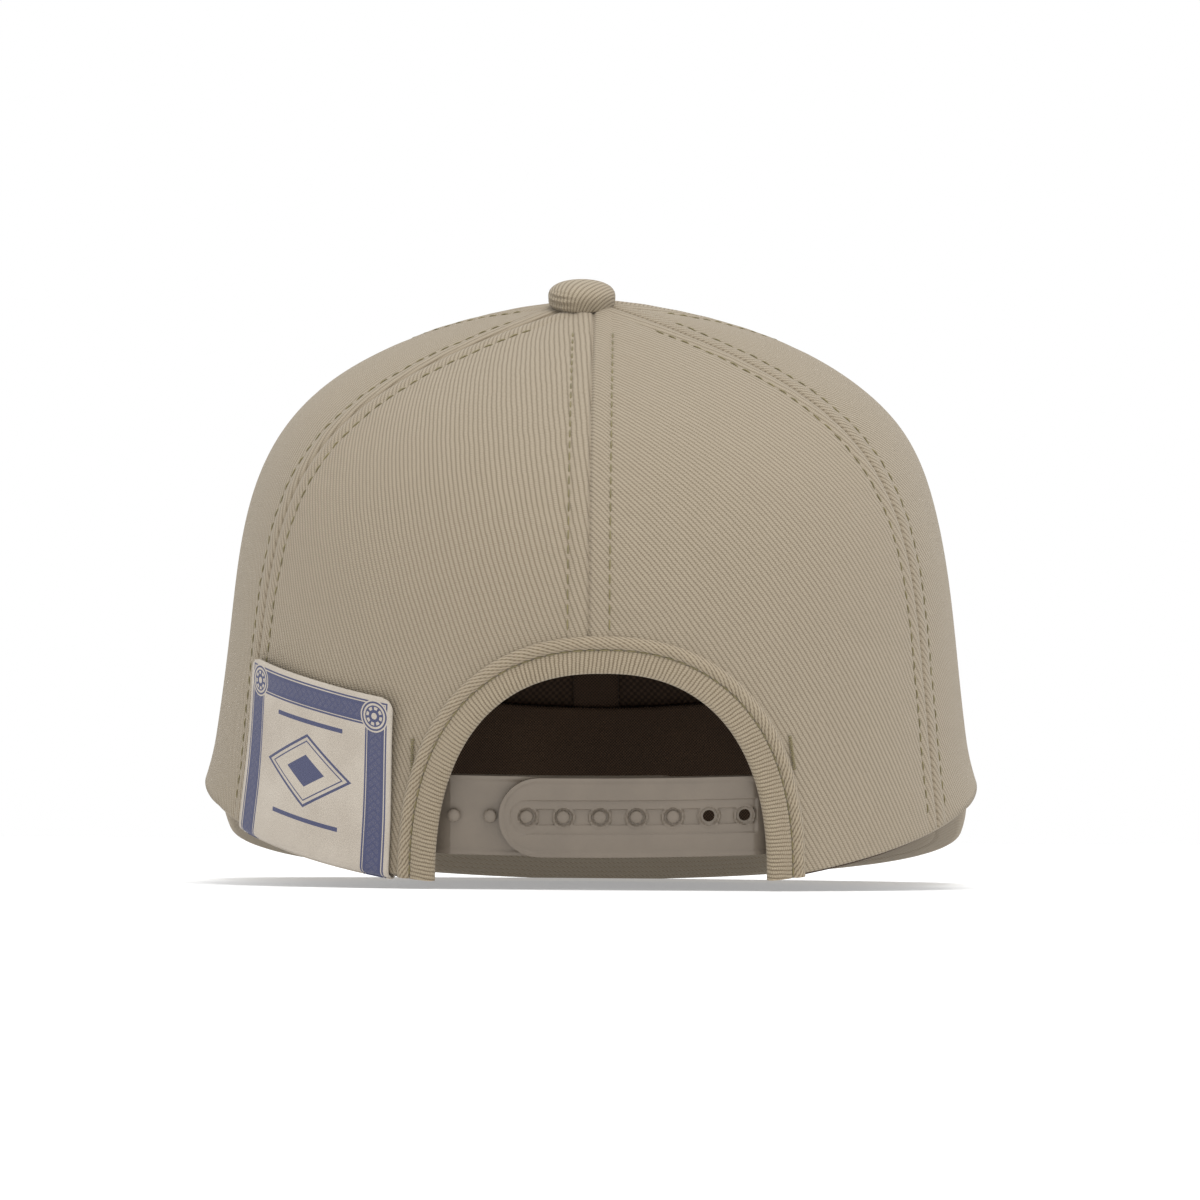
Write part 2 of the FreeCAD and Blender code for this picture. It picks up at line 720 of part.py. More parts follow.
def brim_outline(inset):
    """The brim's edge as tangent arcs: front, two corners and two sides, closed at the heel."""
    half = size.brim_half_width - inset
    front = size.brim_length - inset
    corner = size.brim_corner - inset
    widest = size.brim_widest
    heel = size.brim_heel + inset
    rise = front - widest
    offset = half - corner
    radius = (offset ** 2 + rise ** 2 - corner ** 2) / (2 * (rise - corner))
    front_centre = Vector(0, front - radius, 0)
    corner_centre = Vector(offset, widest, 0)
    join = front_centre + (corner_centre - front_centre).normalize() * radius
    corner_middle = (join - corner_centre).normalize() + Vector(1, 0, 0)
    corner_middle = corner_centre + corner_middle.normalize() * corner
    drawn_in = size.brim_half_width - size.brim_heel_half_width
    side_radius = ((widest - heel) ** 2 + drawn_in ** 2) / (2 * drawn_in)
    halfway = (widest + heel) / 2
    side_middle = half - side_radius + math.sqrt(side_radius ** 2 - (widest - halfway) ** 2)
    side_end = half - side_radius + math.sqrt(side_radius ** 2 - (widest - heel) ** 2)

    def mirrored(point):
        return Vector(-point.x, point.y, 0)

    side = [Vector(side_end, heel, 0), Vector(side_middle, halfway, 0), Vector(half, widest, 0)]
    turn = [side[2], corner_middle, join]
    edges = [Part.Arc(*side), Part.Arc(*turn), Part.Arc(join, Vector(0, front, 0), mirrored(join))]
    edges.append(Part.Arc(*[mirrored(p) for p in reversed(turn)]))
    edges.append(Part.Arc(*[mirrored(p) for p in reversed(side)]))
    edges.append(Part.LineSegment(mirrored(side[0]), side[0]))
    return edges


def crown_ellipse(depth):
    """The crown at a depth below its outside where the brim plane cuts it, as an ellipse."""
    cosine = math.cos(math.radians(size.brim_slope))
    front = layer_point(180.0, lower_edge(180.0), depth)
    front_reach = (front.y - size.brim_root) / cosine
    centre = -size.brim_root / cosine
    semi_length = front_reach - centre
    semi_width = size.crown_half_width + size.throat_spread - depth
    return centre, semi_width, semi_length


def draw_blocked(sketch, edges):
    for i, edge in enumerate(edges):
        sketch.addGeometry(edge)
        sketch.addConstraint(Sketcher.Constraint("Block", i))


def brim_plate(name, depth, thickness, inset, throat_depth):
    """A brim layer: the outline padded down, with the crown's opening cut out."""
    body = new_body(name, brim_placement(depth))
    outline = new_sketch(body, "XY_Plane", "outline")
    draw_blocked(outline, brim_outline(inset))
    pad(body, outline, thickness, backwards=True)
    doc.recompute()
    throat = new_sketch(body, "XY_Plane", "throat")
    centre, semi_width, semi_length = crown_ellipse(throat_depth)
    ellipse = Part.Ellipse(Vector(0, centre + semi_length, 0), Vector(semi_width, centre, 0),
                           Vector(0, centre, 0))
    draw_blocked(throat, [ellipse])
    pocket_through(body, throat)
    doc.recompute()
    return body


def make_brim():
    """A stiff board between two cloth covers, whose lips meet round the board's edge."""
    gap = size.layer_gap
    lip_inset = size.brim_lip
    throat = size.band_depth - size.throat_gap
    total = 2 * size.cover + size.board + 2 * gap
    board_top = size.cover + gap
    brim_plate("brim_board", board_top, "board", lip_inset, throat - size.board_setback)
    for name, depth, recess_low in (
            ("brim_top_cover", 0.0, True), ("brim_under_cover", total / 2 + gap / 2, False)):
        body = brim_plate(name, depth, "cover + layer_gap / 2 + board / 2", 0.0, throat)
        # the recess for the board, from the side that faces it
        recess = new_sketch(body, "XY_Plane", "recess",
                            linked("0 - cover - layer_gap / 2 - board / 2") if recess_low else None)
        draw_blocked(recess, brim_outline(lip_inset - gap))
        cut = body.newObject("PartDesign::Pocket", f"{name}_recess_cut")
        cut.Profile = recess
        cut.setExpression("Length", linked("board / 2 + layer_gap / 2"))
        cut.Reversed = recess_low
        doc.recompute()


# ---------------------------------------------------------------- button

def button_placement(level):
    """The button's frame at the apex, square to the mean slope of the crown's top."""
    tilt = (size.top_slope_back - size.top_slope_front) / 2
    turn = FreeCAD.Rotation(Vector(1, 0, 0), tilt)
    apex = Vector(size.button_shift, size.apex_shift, size.crown_height)
    return FreeCAD.Placement(apex + turn.multVec(Vector(0, 0, level)), turn)


def dome(name, level, radius, rise, rounding, wall):
    """A round cap: a pad with a rounded upper edge, hollowed from below."""
    nearly = 0.01
    body = new_body(name, button_placement(level))
    circle = new_sketch(body, "XY_Plane", "circle")
    draw_circle(circle, radius)
    block = pad(body, circle, rise)
    doc.recompute()
    top = [f"Edge{i}" for i, e in enumerate(block.Shape.Edges, 1)
           if e.Closed and e.CenterOfMass.z > value(linked(rise)) - nearly]
    fillet = body.newObject("PartDesign::Fillet", f"{name}_round")
    fillet.Base = (block, top)
    fillet.setExpression("Radius", linked(rounding))
    doc.recompute()
    floor = [f"Face{i}" for i, f in enumerate(fillet.Shape.Faces, 1) if f.CenterOfMass.z < nearly]
    hollow = body.newObject("PartDesign::Thickness", f"{name}_hollow")
    hollow.Base = (fillet, floor)
    hollow.setExpression("Value", linked(wall))
    hollow.Reversed = True
    doc.recompute()


def make_button():
    """Cloth cover, metal shell, rivet and inner washer on one axis at the apex."""
    dome("button_cover", size.button_lift, "button_radius", "button_rise - button_lift",
         "button_round", "button_cloth")
    dome("button_shell", size.button_lift, "button_radius - button_cloth - layer_gap",
         "button_rise - button_lift - button_cloth - layer_gap",
         "button_round - button_cloth - layer_gap", "button_metal")

    washer = new_body("button_washer", button_placement(-size.washer_level))
    ring = new_sketch(washer, "XY_Plane", "ring")
    draw_circle(ring, "washer_radius")
    pad(washer, ring, "washer", backwards=True)
    doc.recompute()
    bore = new_sketch(washer, "XY_Plane", "bore")
    draw_circle(bore, "rivet_radius + layer_gap")
    pocket_through(washer, bore)

    rivet_foot = -size.washer_level - size.washer - size.layer_gap
    rivet = new_body("button_rivet", button_placement(rivet_foot))
    shank = new_sketch(rivet, "XY_Plane", "shank")
    draw_circle(shank, "rivet_radius")
    pad(rivet, shank, "washer_level + washer + button_rise - button_cloth - button_metal - rivet_clear")
    doc.recompute()
    clinch = new_sketch(rivet, "XY_Plane", "clinch")
    draw_circle(clinch, "rivet_head")
    pad(rivet, clinch, "clinch", backwards=True)
    doc.recompute()


# ---------------------------------------------------------------- label

def make_label():
    """A label folded over the rim: the outer leaf hangs free, the tail is sewn inside."""
    angles = spread(size.label_from, size.label_to, PANEL_STEP)

    def leaf(angle, share):
        return size.label_start + height_step(angle, size.label_height) * share

    outside = -size.label_stand - size.label
    add_shape("label_flap", layer_solid(angles, leaf, outside, size.label))

    # the tail's section: under the rim from the leaf to the inside, then up behind the sweatband
    drop = size.label_drop
    tail_in = size.tape_depth + size.tape + 2 * size.layer_gap
    section = [
        (outside, -drop), (tail_in + size.label, -drop), (tail_in + size.label, size.label_tail),
        (tail_in, size.label_tail), (tail_in, size.label - drop), (outside, size.label - drop),
    ]
    lanes = []
    for depth, level in section:
        lane = []
        for angle in angles:
            foot = crown_point(angle, 0.0).z
            lane.append(layer_point(angle, height_at_level(angle, foot + level), depth))
        lanes.append(lane)
    edges = []
    for lane in lanes:
        curve = Part.BSplineCurve()
        curve.interpolate(lane)
        edges.append(curve.toShape())
    faces = [Part.makeRuledSurface(a, b) for a, b in zip(edges, edges[1:] + edges[:1])]
    for end in (0, -1):
        ring = [lane[end] for lane in lanes]
        faces.append(Part.makeFilledFace(Part.makePolygon(ring + ring[:1]).Edges))
    shell = Part.makeShell(faces)
    shell.sewShape(1e-3)
    solid = Part.makeSolid(shell)
    if solid.Volume < 0:
        solid.reverse()
    add_shape("label_tail", solid)


# ---------------------------------------------------------------- assembly

def stand_on_floor():
    """Gives every sub-part the common placement, centred over the origin and down on z = 0."""
    doc.recompute()
    tip_back = common_placement()
    box = FreeCAD.BoundBox()
    for sub_part, local in sub_parts:
        sub_part.Placement = tip_back.multiply(local)
        for point in sub_part.Shape.tessellate(0.05)[0]:
            box.add(point)
    shift = Vector(-box.Center.x, -box.Center.y, -box.ZMin)
    move = FreeCAD.Placement(shift, FreeCAD.Rotation())
    for sub_part, local in sub_parts:
        sub_part.Placement = move.multiply(tip_back).multiply(local)
    doc.recompute()
    return move.multiply(tip_back), box


def check_and_write():
    """Stops on any failed object, then writes one STEP file for each sub-part."""
    for thing in doc.Objects:
        if "Invalid" in thing.State or "Error" in thing.State:
            raise RuntimeError(f"{thing.Name} is {thing.State}")
    for sub_part, _ in sub_parts:
        shape = sub_part.Shape
        if shape.isNull() or not shape.isValid() or len(shape.Solids) != 1:
            raise RuntimeError(f"{sub_part.Label} has a bad shape")
    for sub_part, _ in sub_parts:
        sub_part.Shape.exportStep(f"parts/{sub_part.Label}.step")


make_panels()
make_buckram()
make_tapes()
make_sweatband()
make_binding()
make_hole_strap()
make_peg_strap()
make_tabs()
make_brim()
make_button()
make_label()
stance, overall = stand_on_floor()
check_and_write()
print(f"{len(sub_parts)} sub-parts, {overall.XLength:.1f} x {overall.YLength:.1f} x {overall.ZLength:.1f} mm")
print("rim centre at", stance.Base, "crown axis", stance.Rotation.multVec(Vector(0, 0, 1)))
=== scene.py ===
"""Looks of a flat-brim cap with a moulded snap closure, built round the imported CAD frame.

Shapes are worked out in the crown's own frame, in millimetres: the origin is the centre of the
rim, +Z is the crown's axis, +Y points to the brim and +X to the wearer's right. to_world() takes
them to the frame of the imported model. An angle round the crown is in degrees from the back seam,
positive to +X. A height is a fraction of a crown meridian: 0 at the rim, 1 at the apex.
"""

import json
import math

import bpy
import numpy as np
from mathutils import Matrix, Vector


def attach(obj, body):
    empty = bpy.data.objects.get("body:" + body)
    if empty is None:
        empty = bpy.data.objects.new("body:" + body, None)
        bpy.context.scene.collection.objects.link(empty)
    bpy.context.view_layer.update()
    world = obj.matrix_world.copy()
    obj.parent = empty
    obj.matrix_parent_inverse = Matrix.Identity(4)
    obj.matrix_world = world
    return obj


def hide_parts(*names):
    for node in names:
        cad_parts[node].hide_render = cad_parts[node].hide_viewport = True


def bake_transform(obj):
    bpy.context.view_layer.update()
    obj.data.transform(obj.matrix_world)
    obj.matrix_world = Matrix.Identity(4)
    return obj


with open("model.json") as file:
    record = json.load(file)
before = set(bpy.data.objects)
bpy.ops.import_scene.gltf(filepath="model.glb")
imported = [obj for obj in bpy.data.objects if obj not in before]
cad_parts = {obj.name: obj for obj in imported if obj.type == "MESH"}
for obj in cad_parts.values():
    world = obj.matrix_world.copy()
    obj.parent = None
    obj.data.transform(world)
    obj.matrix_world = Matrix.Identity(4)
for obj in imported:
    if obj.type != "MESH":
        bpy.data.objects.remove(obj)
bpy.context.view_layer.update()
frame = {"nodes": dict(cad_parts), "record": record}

MM = 0.001
CLOTH_UV = "cloth"

# ---------------------------------------------------------------- frame and crown surface

mounts = {mount["name"]: mount for mount in frame["record"]["mounts"]}
RIM_CENTRE = np.array(mounts["head_opening"]["pos_m"])
CROWN_DOWN = mounts["head_opening"]["axis"]
TILT = math.atan2(CROWN_DOWN[1], -CROWN_DOWN[2])

HALF_WIDTH = 92.7
BACK_DEPTH = 94.0
FRONT_DEPTH = 96.5
CROWN_HEIGHT = 123.5
APEX_SHIFT = -12.0
SIDE_RISE = 4.6
LEAN = (10.0, 4.0, 10.0)            # side, back, front, in degrees
WALL_PULL = (79.0, 62.5, 76.0)
TOP_PULL = (95.0, 95.0, 74.0)
TOP_SLOPE_BACK = 15.0
TOP_SLOPE_FRONT = 5.5
REAR_SEAM = 61.5
FRONT_SEAM = 120.0
SEAMS = (0.0, REAR_SEAM, -REAR_SEAM, FRONT_SEAM, -FRONT_SEAM, 180.0)

ARCH_HALF_WIDTH = 37.9
ARCH_HEIGHT = 49.7
ARCH_POWER = 2.33
ARCH_SHIFT = 3.1
BINDING_WIDTH = 8.1

BRIM_SLOPE = math.radians(23.7)
BRIM_ROOT = 25.0
BRIM_ROOT_LEVEL = 4.5
SEAT_LIFT = 0.9
EDGE_SOFTNESS = 0.005

SEARCH_FROM, SEARCH_TO = -0.3, 0.95     # heights between which a level is looked for
HALVINGS = 30
CORRECTIONS = 12


def to_world(points):
    """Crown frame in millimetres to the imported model's frame in metres."""
    points = np.asarray(points, float)
    cosine, sine = math.cos(TILT), math.sin(TILT)
    x, y, z = points[..., 0], points[..., 1], points[..., 2]
    turned = np.stack([x, y * cosine - z * sine, y * sine + z * cosine], -1)
    return turned * MM + RIM_CENTRE


def blend_round(values, cosine):
    side, back, front = values
    facing = cosine ** 2
    return side * (1 - facing) + np.where(cosine > 0, back, front) * facing


def meridian(angle):
    sine = np.sin(np.radians(angle))
    cosine = np.cos(np.radians(angle))
    depth = np.where(cosine > 0, BACK_DEPTH, FRONT_DEPTH)
    radius = 1 / np.sqrt((sine / HALF_WIDTH) ** 2 + (cosine / depth) ** 2)
    lean = np.radians(blend_round(LEAN, cosine))
    wall = blend_round(WALL_PULL, cosine)
    return sine, cosine, radius, lean, wall


def crown(angle, height):
    """Points on the outside of the crown's cloth."""
    angle, height = np.broadcast_arrays(np.asarray(angle, float), np.asarray(height, float))
    sine, cosine, radius, lean, wall = meridian(angle)
    top = blend_round(TOP_PULL, cosine)
    slope = np.radians(TOP_SLOPE_BACK * (1 + cosine) / 2 + TOP_SLOPE_FRONT * (1 - cosine) / 2)
    foot = SIDE_RISE * (1 - cosine ** 2)
    up = np.clip(height, 0, None)
    below = np.minimum(height, 0)
    first = (1 - up) ** 3
    second = 3 * (1 - up) ** 2 * up
    third = 3 * (1 - up) * up ** 2
    out = first * radius + second * (radius - wall * np.sin(lean)) + third * top
    out -= 3 * below * wall * np.sin(lean)
    level = first * foot + second * (foot + wall * np.cos(lean))
    level += third * (CROWN_HEIGHT - top * np.tan(slope)) + up ** 3 * CROWN_HEIGHT
    level += 3 * below * wall * np.cos(lean)
    drift = APEX_SHIFT * up ** 2 * (3 - 2 * up)
    return np.stack([out * sine, drift - out * cosine, level], -1)


def unit(vectors):
    return vectors / np.linalg.norm(vectors, axis=-1, keepdims=True)


def outward(angle, height):
    """The crown's outward normals."""
    turn, rise = 0.5, 0.004
    around = crown(angle + turn, height) - crown(angle - turn, height)
    upward = crown(angle, height + rise) - crown(angle, height - rise)
    return unit(np.cross(around, upward))


def layer(angle, height, lift):
    """Points a lift outside the crown's surface; a negative lift is inside it."""
    return crown(angle, height) + outward(angle, height) * np.asarray(lift, float)[..., None]


def reach(angle, height):
    """Distance from the crown's drifting centre line, which turns angles into arc lengths."""
    up = np.clip(height, 0, None)
    points = crown(angle, height)
    return np.hypot(points[..., 0], points[..., 1] - APEX_SHIFT * up ** 2 * (3 - 2 * up))


def lower_edge(angle):
    """Height of the crown's lower edge: the rim, or the brim's plane at the front."""
    _, cosine, radius, lean, wall = meridian(angle)
    fall = math.tan(BRIM_SLOPE)
    seat = BRIM_ROOT_LEVEL + SEAT_LIFT + BRIM_ROOT * fall + cosine * radius * fall
    rate = 3 * wall * (np.cos(lean) + np.sin(lean) * cosine * fall)
    meet = (seat - SIDE_RISE * (1 - cosine ** 2)) / rate
    return (meet - np.sqrt(meet ** 2 + EDGE_SOFTNESS ** 2)) / 2


def height_at_level(angle, level):
    """Height of the crown's surface at a level above the rim plane."""
    angle, level = np.broadcast_arrays(np.asarray(angle, float), np.asarray(level, float))
    low = np.full(angle.shape, SEARCH_FROM)
    high = np.full(angle.shape, SEARCH_TO)
    for _ in range(HALVINGS):
        middle = (low + high) / 2
        under = crown(angle, middle)[..., 2] < level
        low = np.where(under, middle, low)
        high = np.where(under, high, middle)
    return (low + high) / 2


def at_back(x, level):
    """Angle and height of the crown's back at an x and a level."""
    angle = np.degrees(np.arcsin(np.clip(np.asarray(x, float) / HALF_WIDTH, -0.9, 0.9)))
    height = height_at_level(angle, level)
    for _ in range(CORRECTIONS):
        angle = angle + np.degrees((x - crown(angle, height)[..., 0]) / HALF_WIDTH)
        height = height_at_level(angle, level)
    return angle, height


# ---------------------------------------------------------------- meshes

def grid_faces(rows, columns):
    """Quads of a grid stored row by row."""
    row, column = np.meshgrid(np.arange(rows - 1), np.arange(columns - 1), indexing="ij")
    corner = (row * columns + column).ravel()
    return np.stack([corner, corner + 1, corner + columns + 1, corner + columns], -1)


def add_mesh(name, points, faces, material, uv=None):
    """A smooth mesh object from points in the crown frame; uv is in millimetres of cloth."""
    mesh = bpy.data.meshes.new(name)
    mesh.from_pydata(to_world(points).reshape(-1, 3).tolist(), [], [list(f) for f in faces])
    mesh.polygons.foreach_set("use_smooth", [True] * len(mesh.polygons))
    if uv is not None:
        corners = np.zeros(len(mesh.loops), int)
        mesh.loops.foreach_get("vertex_index", corners)
        layer_data = mesh.uv_layers.new(name=CLOTH_UV)
        layer_data.data.foreach_set("uv", np.asarray(uv, float).reshape(-1, 2)[corners].ravel())
    mesh.materials.append(material)
    mesh.update()
    obj = bpy.data.objects.new(name, mesh)
    bpy.context.scene.collection.objects.link(obj)
    return obj


def add_grid(name, points, uv, material, thickness=0.0, keep=None):
    """A sheet from a grid of points; keep is a mask of its quads."""
    rows, columns = points.shape[:2]
    faces = grid_faces(rows, columns)
    if keep is not None:
        faces = faces[keep.ravel()]
        used = np.unique(faces)
        order = np.full(rows * columns, -1)
        order[used] = np.arange(len(used))
        faces = order[faces]
        points = points.reshape(-1, 3)[used]
        uv = uv.reshape(-1, 2)[used]
    obj = add_mesh(name, points, faces, material, uv)
    if thickness:
        solidify = obj.modifiers.new("thickness", "SOLIDIFY")
        solidify.thickness = thickness * MM
        solidify.offset = -1
        solidify.use_even_offset = False
    return obj


def along(points):
    """Distance along a line of points."""
    steps = np.linalg.norm(np.diff(points, axis=0), axis=1)
    return np.concatenate([[0.0], np.cumsum(steps)])


def at_distances(wanted, distance, values):
    """Rows of values read at wanted distances along their line."""
    return np.stack([np.interp(wanted, distance, values[:, k])
                     for k in range(values.shape[1])], -1)


def resample(points, spacing):
    """Evenly spaced points on a line."""
    distance = along(points)
    count = max(2, int(round(distance[-1] / spacing)) + 1)
    return at_distances(np.linspace(0, distance[-1], count), distance, points)


def joined(parts):
    """One list of points and one of faces from several (points, faces) pairs."""
    points, faces, total = [], [], 0
    for made, quads in parts:
        points.append(made)
        faces += [tuple(v + total for v in face) for face in quads]
        total += len(made)
    return np.concatenate(points), faces


STITCH_STATIONS = np.linspace(0, 1, 6)
STITCH_SIDES = 6
STITCH_SHARE = 0.8      # of the pitch; the rest is under the cloth


def stitch_parts(points, normals, pitch, radius):
    """Points and faces of thread stitches laid along a line on a surface."""
    distance = along(points)
    count = int(distance[-1] // pitch)
    turns = np.arange(STITCH_SIDES) * 2 * math.pi / STITCH_SIDES
    vertices, faces = [], []
    for i in range(count):
        start = (i + (1 - STITCH_SHARE) / 2) * pitch
        wanted = start + STITCH_STATIONS * pitch * STITCH_SHARE
        centre = at_distances(wanted, distance, points)
        normal = unit(at_distances(wanted, distance, normals))
        forward = unit(np.gradient(centre, axis=0))
        across = unit(np.cross(forward, normal))
        arch = np.sin(math.pi * STITCH_STATIONS)
        centre = centre + normal * (radius * (1.3 * arch ** 0.6 - 0.75))[:, None]
        girth = radius * (0.35 + 0.65 * arch ** 0.4)
        ring = (centre[:, None] + girth[:, None, None]
                * (np.cos(turns)[None, :, None] * across[:, None]
                   + np.sin(turns)[None, :, None] * normal[:, None]))
        base = i * len(STITCH_STATIONS) * STITCH_SIDES
        vertices.append(ring.reshape(-1, 3))
        for k in range(len(STITCH_STATIONS) - 1):
            for j in range(STITCH_SIDES):
                a = base + k * STITCH_SIDES + j
                b = base + k * STITCH_SIDES + (j + 1) % STITCH_SIDES
                faces.append((a, b, b + STITCH_SIDES, a + STITCH_SIDES))
        last = base + (len(STITCH_STATIONS) - 1) * STITCH_SIDES
        faces.append(tuple(range(base + STITCH_SIDES - 1, base - 1, -1)))
        faces.append(tuple(range(last, last + STITCH_SIDES)))
    return (np.concatenate(vertices) if vertices else np.zeros((0, 3))), faces


def add_stitches(name, runs, material, radius=0.2):
    """One object for several lines of stitches; a run is (points, normals, pitch)."""
    points, faces = joined([stitch_parts(line, normals, pitch, radius)
                            for line, normals, pitch in runs])
    return add_mesh(name, points, faces, material)


# ---------------------------------------------------------------- shader building

class Number:
    """A value in a shader graph that can be added, multiplied and compared."""

    def __init__(self, shader, socket):
        self.shader = shader
        self.socket = socket

    def _do(self, operation, other=None):
        return self.shader.math(operation, self, other)

    def __add__(self, other):
        return self._do("ADD", other)

    def __sub__(self, other):
        return self._do("SUBTRACT", other)

    def __rsub__(self, other):
        return self.shader.math("SUBTRACT", other, self)

    def __mul__(self, other):
        return self._do("MULTIPLY", other)

    __radd__ = __add__
    __rmul__ = __mul__

    def __truediv__(self, other):
        return self._do("DIVIDE", other)

    def __pow__(self, other):
        return self._do("POWER", other)

    def __lt__(self, other):
        return self._do("LESS_THAN", other)

    def abs(self):
        return self._do("ABSOLUTE")

    def fraction(self):
        return self._do("FRACT")

    def floor(self):
        return self._do("FLOOR")

    def sine(self):
        return self._do("SINE")

    def least(self, other):
        return self._do("MINIMUM", other)

    def most(self, other):
        return self._do("MAXIMUM", other)

    def ramp(self, low, high):
        """0 below low, 1 above high, smooth between."""
        node = self.shader.new("ShaderNodeMapRange")
        node.interpolation_type = "SMOOTHSTEP"
        self.shader.feed(node.inputs["Value"], self)
        node.inputs["From Min"].default_value = low
        node.inputs["From Max"].default_value = high
        return Number(self.shader, node.outputs["Result"])


class Shader:
    """A material whose nodes are written as sums and products."""

    def __init__(self, name):
        self.material = bpy.data.materials.new(name)
        self.material.use_nodes = True
        self.tree = self.material.node_tree
        self.surface = self.tree.nodes["Principled BSDF"]

    def new(self, kind):
        return self.tree.nodes.new(kind)

    def feed(self, socket, value):
        if isinstance(value, Number):
            self.tree.links.new(value.socket, socket)
        else:
            socket.default_value = value

    def math(self, operation, first, second=None):
        node = self.new("ShaderNodeMath")
        node.operation = operation
        self.feed(node.inputs[0], first)
        if second is not None:
            self.feed(node.inputs[1], second)
        return Number(self, node.outputs[0])

    def cloth(self):
        """The two cloth coordinates in millimetres."""
        uv = self.new("ShaderNodeUVMap")
        uv.uv_map = CLOTH_UV
        split = self.new("ShaderNodeSeparateXYZ")
        self.tree.links.new(uv.outputs["UV"], split.inputs["Vector"])
        return Number(self, split.outputs["X"]), Number(self, split.outputs["Y"])

    def place(self):
        """Position on the object in metres, as a vector socket."""
        return self.new("ShaderNodeTexCoord").outputs["Object"]

    def vector(self, x, y, z=0.0):
        node = self.new("ShaderNodeCombineXYZ")
        for socket, value in zip(node.inputs, (x, y, z)):
            self.feed(socket, value)
        return node.outputs[0]

    def noise(self, vector, scale, detail=3.0, roughness=0.55):
        """Noise that is about 0 on average, from -0.5 to 0.5."""
        node = self.new("ShaderNodeTexNoise")
        self.tree.links.new(vector, node.inputs["Vector"])
        node.inputs["Scale"].default_value = scale
        node.inputs["Detail"].default_value = detail
        node.inputs["Roughness"].default_value = roughness
        return Number(self, node.outputs["Fac"]) - 0.5

    def blend(self, share, first, second):
        """A colour between two colours; a colour is a triple or a socket."""
        node = self.new("ShaderNodeMix")
        node.data_type = "RGBA"
        self.feed(node.inputs["Factor"], share)
        for name, colour in (("A", first), ("B", second)):
            socket = [s for s in node.inputs if s.name == name and s.type == "RGBA"][0]
            if isinstance(colour, tuple):
                socket.default_value = (*colour, 1.0)
            else:
                self.tree.links.new(colour, socket)
        return [s for s in node.outputs if s.type == "RGBA"][0]

    def finish(self, colour, roughness, relief=None, depth=0.2, **fixed):
        """Connects colour, roughness and a relief whose depth is in millimetres."""
        self.tree.links.new(colour, self.surface.inputs["Base Color"])
        self.feed(self.surface.inputs["Roughness"], roughness)
        for name, number in fixed.items():
            self.surface.inputs[name.replace("_", " ")].default_value = number
        if relief is not None:
            bump = self.new("ShaderNodeBump")
            bump.inputs["Strength"].default_value = 1.0
            bump.inputs["Distance"].default_value = depth * MM
            self.feed(bump.inputs["Height"], relief)
            self.tree.links.new(bump.outputs["Normal"], self.surface.inputs["Normal"])
        return self.material


def linear(red, green, blue):
    """A display colour from 0 to 255 as a linear colour triple."""
    def decode(level):
        level /= 255
        return level / 12.92 if level <= 0.04045 else ((level + 0.055) / 1.055) ** 2.4

    return decode(red), decode(green), decode(blue)


def scaled(colour, factor):
    return tuple(min(1.0, channel * factor) for channel in colour)


FLOAT_LENGTH = 0.55
TWILL_DEPTH = 0.2


def twill(name, rib, groove, pitch=1.08, lean=30.0):
    """Cotton twill: slanted ribs made of short floats, with narrow grooves between them darkened by painted
    shade.
    """
    shader = Shader(name)
    u, v = shader.cloth()
    turn = math.radians(lean)
    wander = shader.noise(shader.vector(u, v), 0.12, 2.0) * 0.5
    wander = wander + shader.noise(shader.vector(u, v), 1.1, 2.0) * 0.22
    across = u * math.cos(turn) + v * math.sin(turn) + wander
    onward = v * math.cos(turn) - u * math.sin(turn)
    wale = across / pitch
    offset = wale.fraction() - 0.5
    crest = 1 - (offset * offset) * 4
    stagger = wale.floor() * 0.37
    float_wave = (((onward / FLOAT_LENGTH) + stagger + offset * 0.9) * (2 * math.pi)).sine() * 0.5 + 0.5
    fibre = shader.noise(shader.vector(u, v), 3.2, 4.0, 0.7)
    height = crest * 0.6 + float_wave * 0.32 + fibre * 0.5
    patch = shader.noise(shader.place(), 22.0, 3.0)
    yarn = shader.noise(shader.vector(wale.floor() * 3.1, onward * 0.07), 1.0, 2.0)
    open_share = height.ramp(-0.05, 0.85)
    # the groove colour where the relief is low is painted shade in the weave's grooves
    colour = shader.blend(open_share, groove, rib)
    shade = (patch * 0.35 + yarn * 0.4 + fibre * 0.5 + 0.5).ramp(0.1, 0.9)
    dark = shader.blend(0.16, colour, scaled(groove, 0.85))
    colour = shader.blend(shade, dark, colour)
    roughness = 0.9 - fibre * 0.1
    return shader.finish(colour, roughness, height, TWILL_DEPTH, Sheen_Weight=0.12,
                         Sheen_Roughness=0.6, Specular_IOR_Level=0.25)


def ribbed_binding(name, rib, groove):
    """Twill cut on the bias: ribs lie across the inner band and slant over the outer roll."""
    shader = Shader(name)
    u, v = shader.cloth()
    roll = u.ramp(ROLL_START - 0.2, ROLL_START + 0.2)
    wander = shader.noise(shader.vector(u, v), 0.5, 2.0) * 0.5
    band = (v + u * 0.12 + wander) / RIB_PITCH
    slant = (v * 0.62 - u * 0.95 + wander) / 0.85
    phase = band * (1 - roll) + slant * roll
    offset = phase.fraction() - 0.5
    crest = 1 - (offset * offset) * 4
    fibre = shader.noise(shader.vector(u, v), 3.0, 4.0, 0.7)
    float_wave = ((u / 0.5 + phase.floor() * 0.5) * (2 * math.pi)).sine() * 0.5 + 0.5
    height = crest * 0.62 + float_wave * 0.26 + fibre * 0.5
    patch = shader.noise(shader.place(), 40.0, 3.0)
    # the groove colour where the relief is low is painted shade between the ribs
    colour = shader.blend((height + patch * 0.25).ramp(0.0, 0.85), groove, rib)
    return shader.finish(colour, 0.9 - fibre * 0.1, height, TWILL_DEPTH, Sheen_Weight=0.12,
                         Sheen_Roughness=0.6, Specular_IOR_Level=0.25)


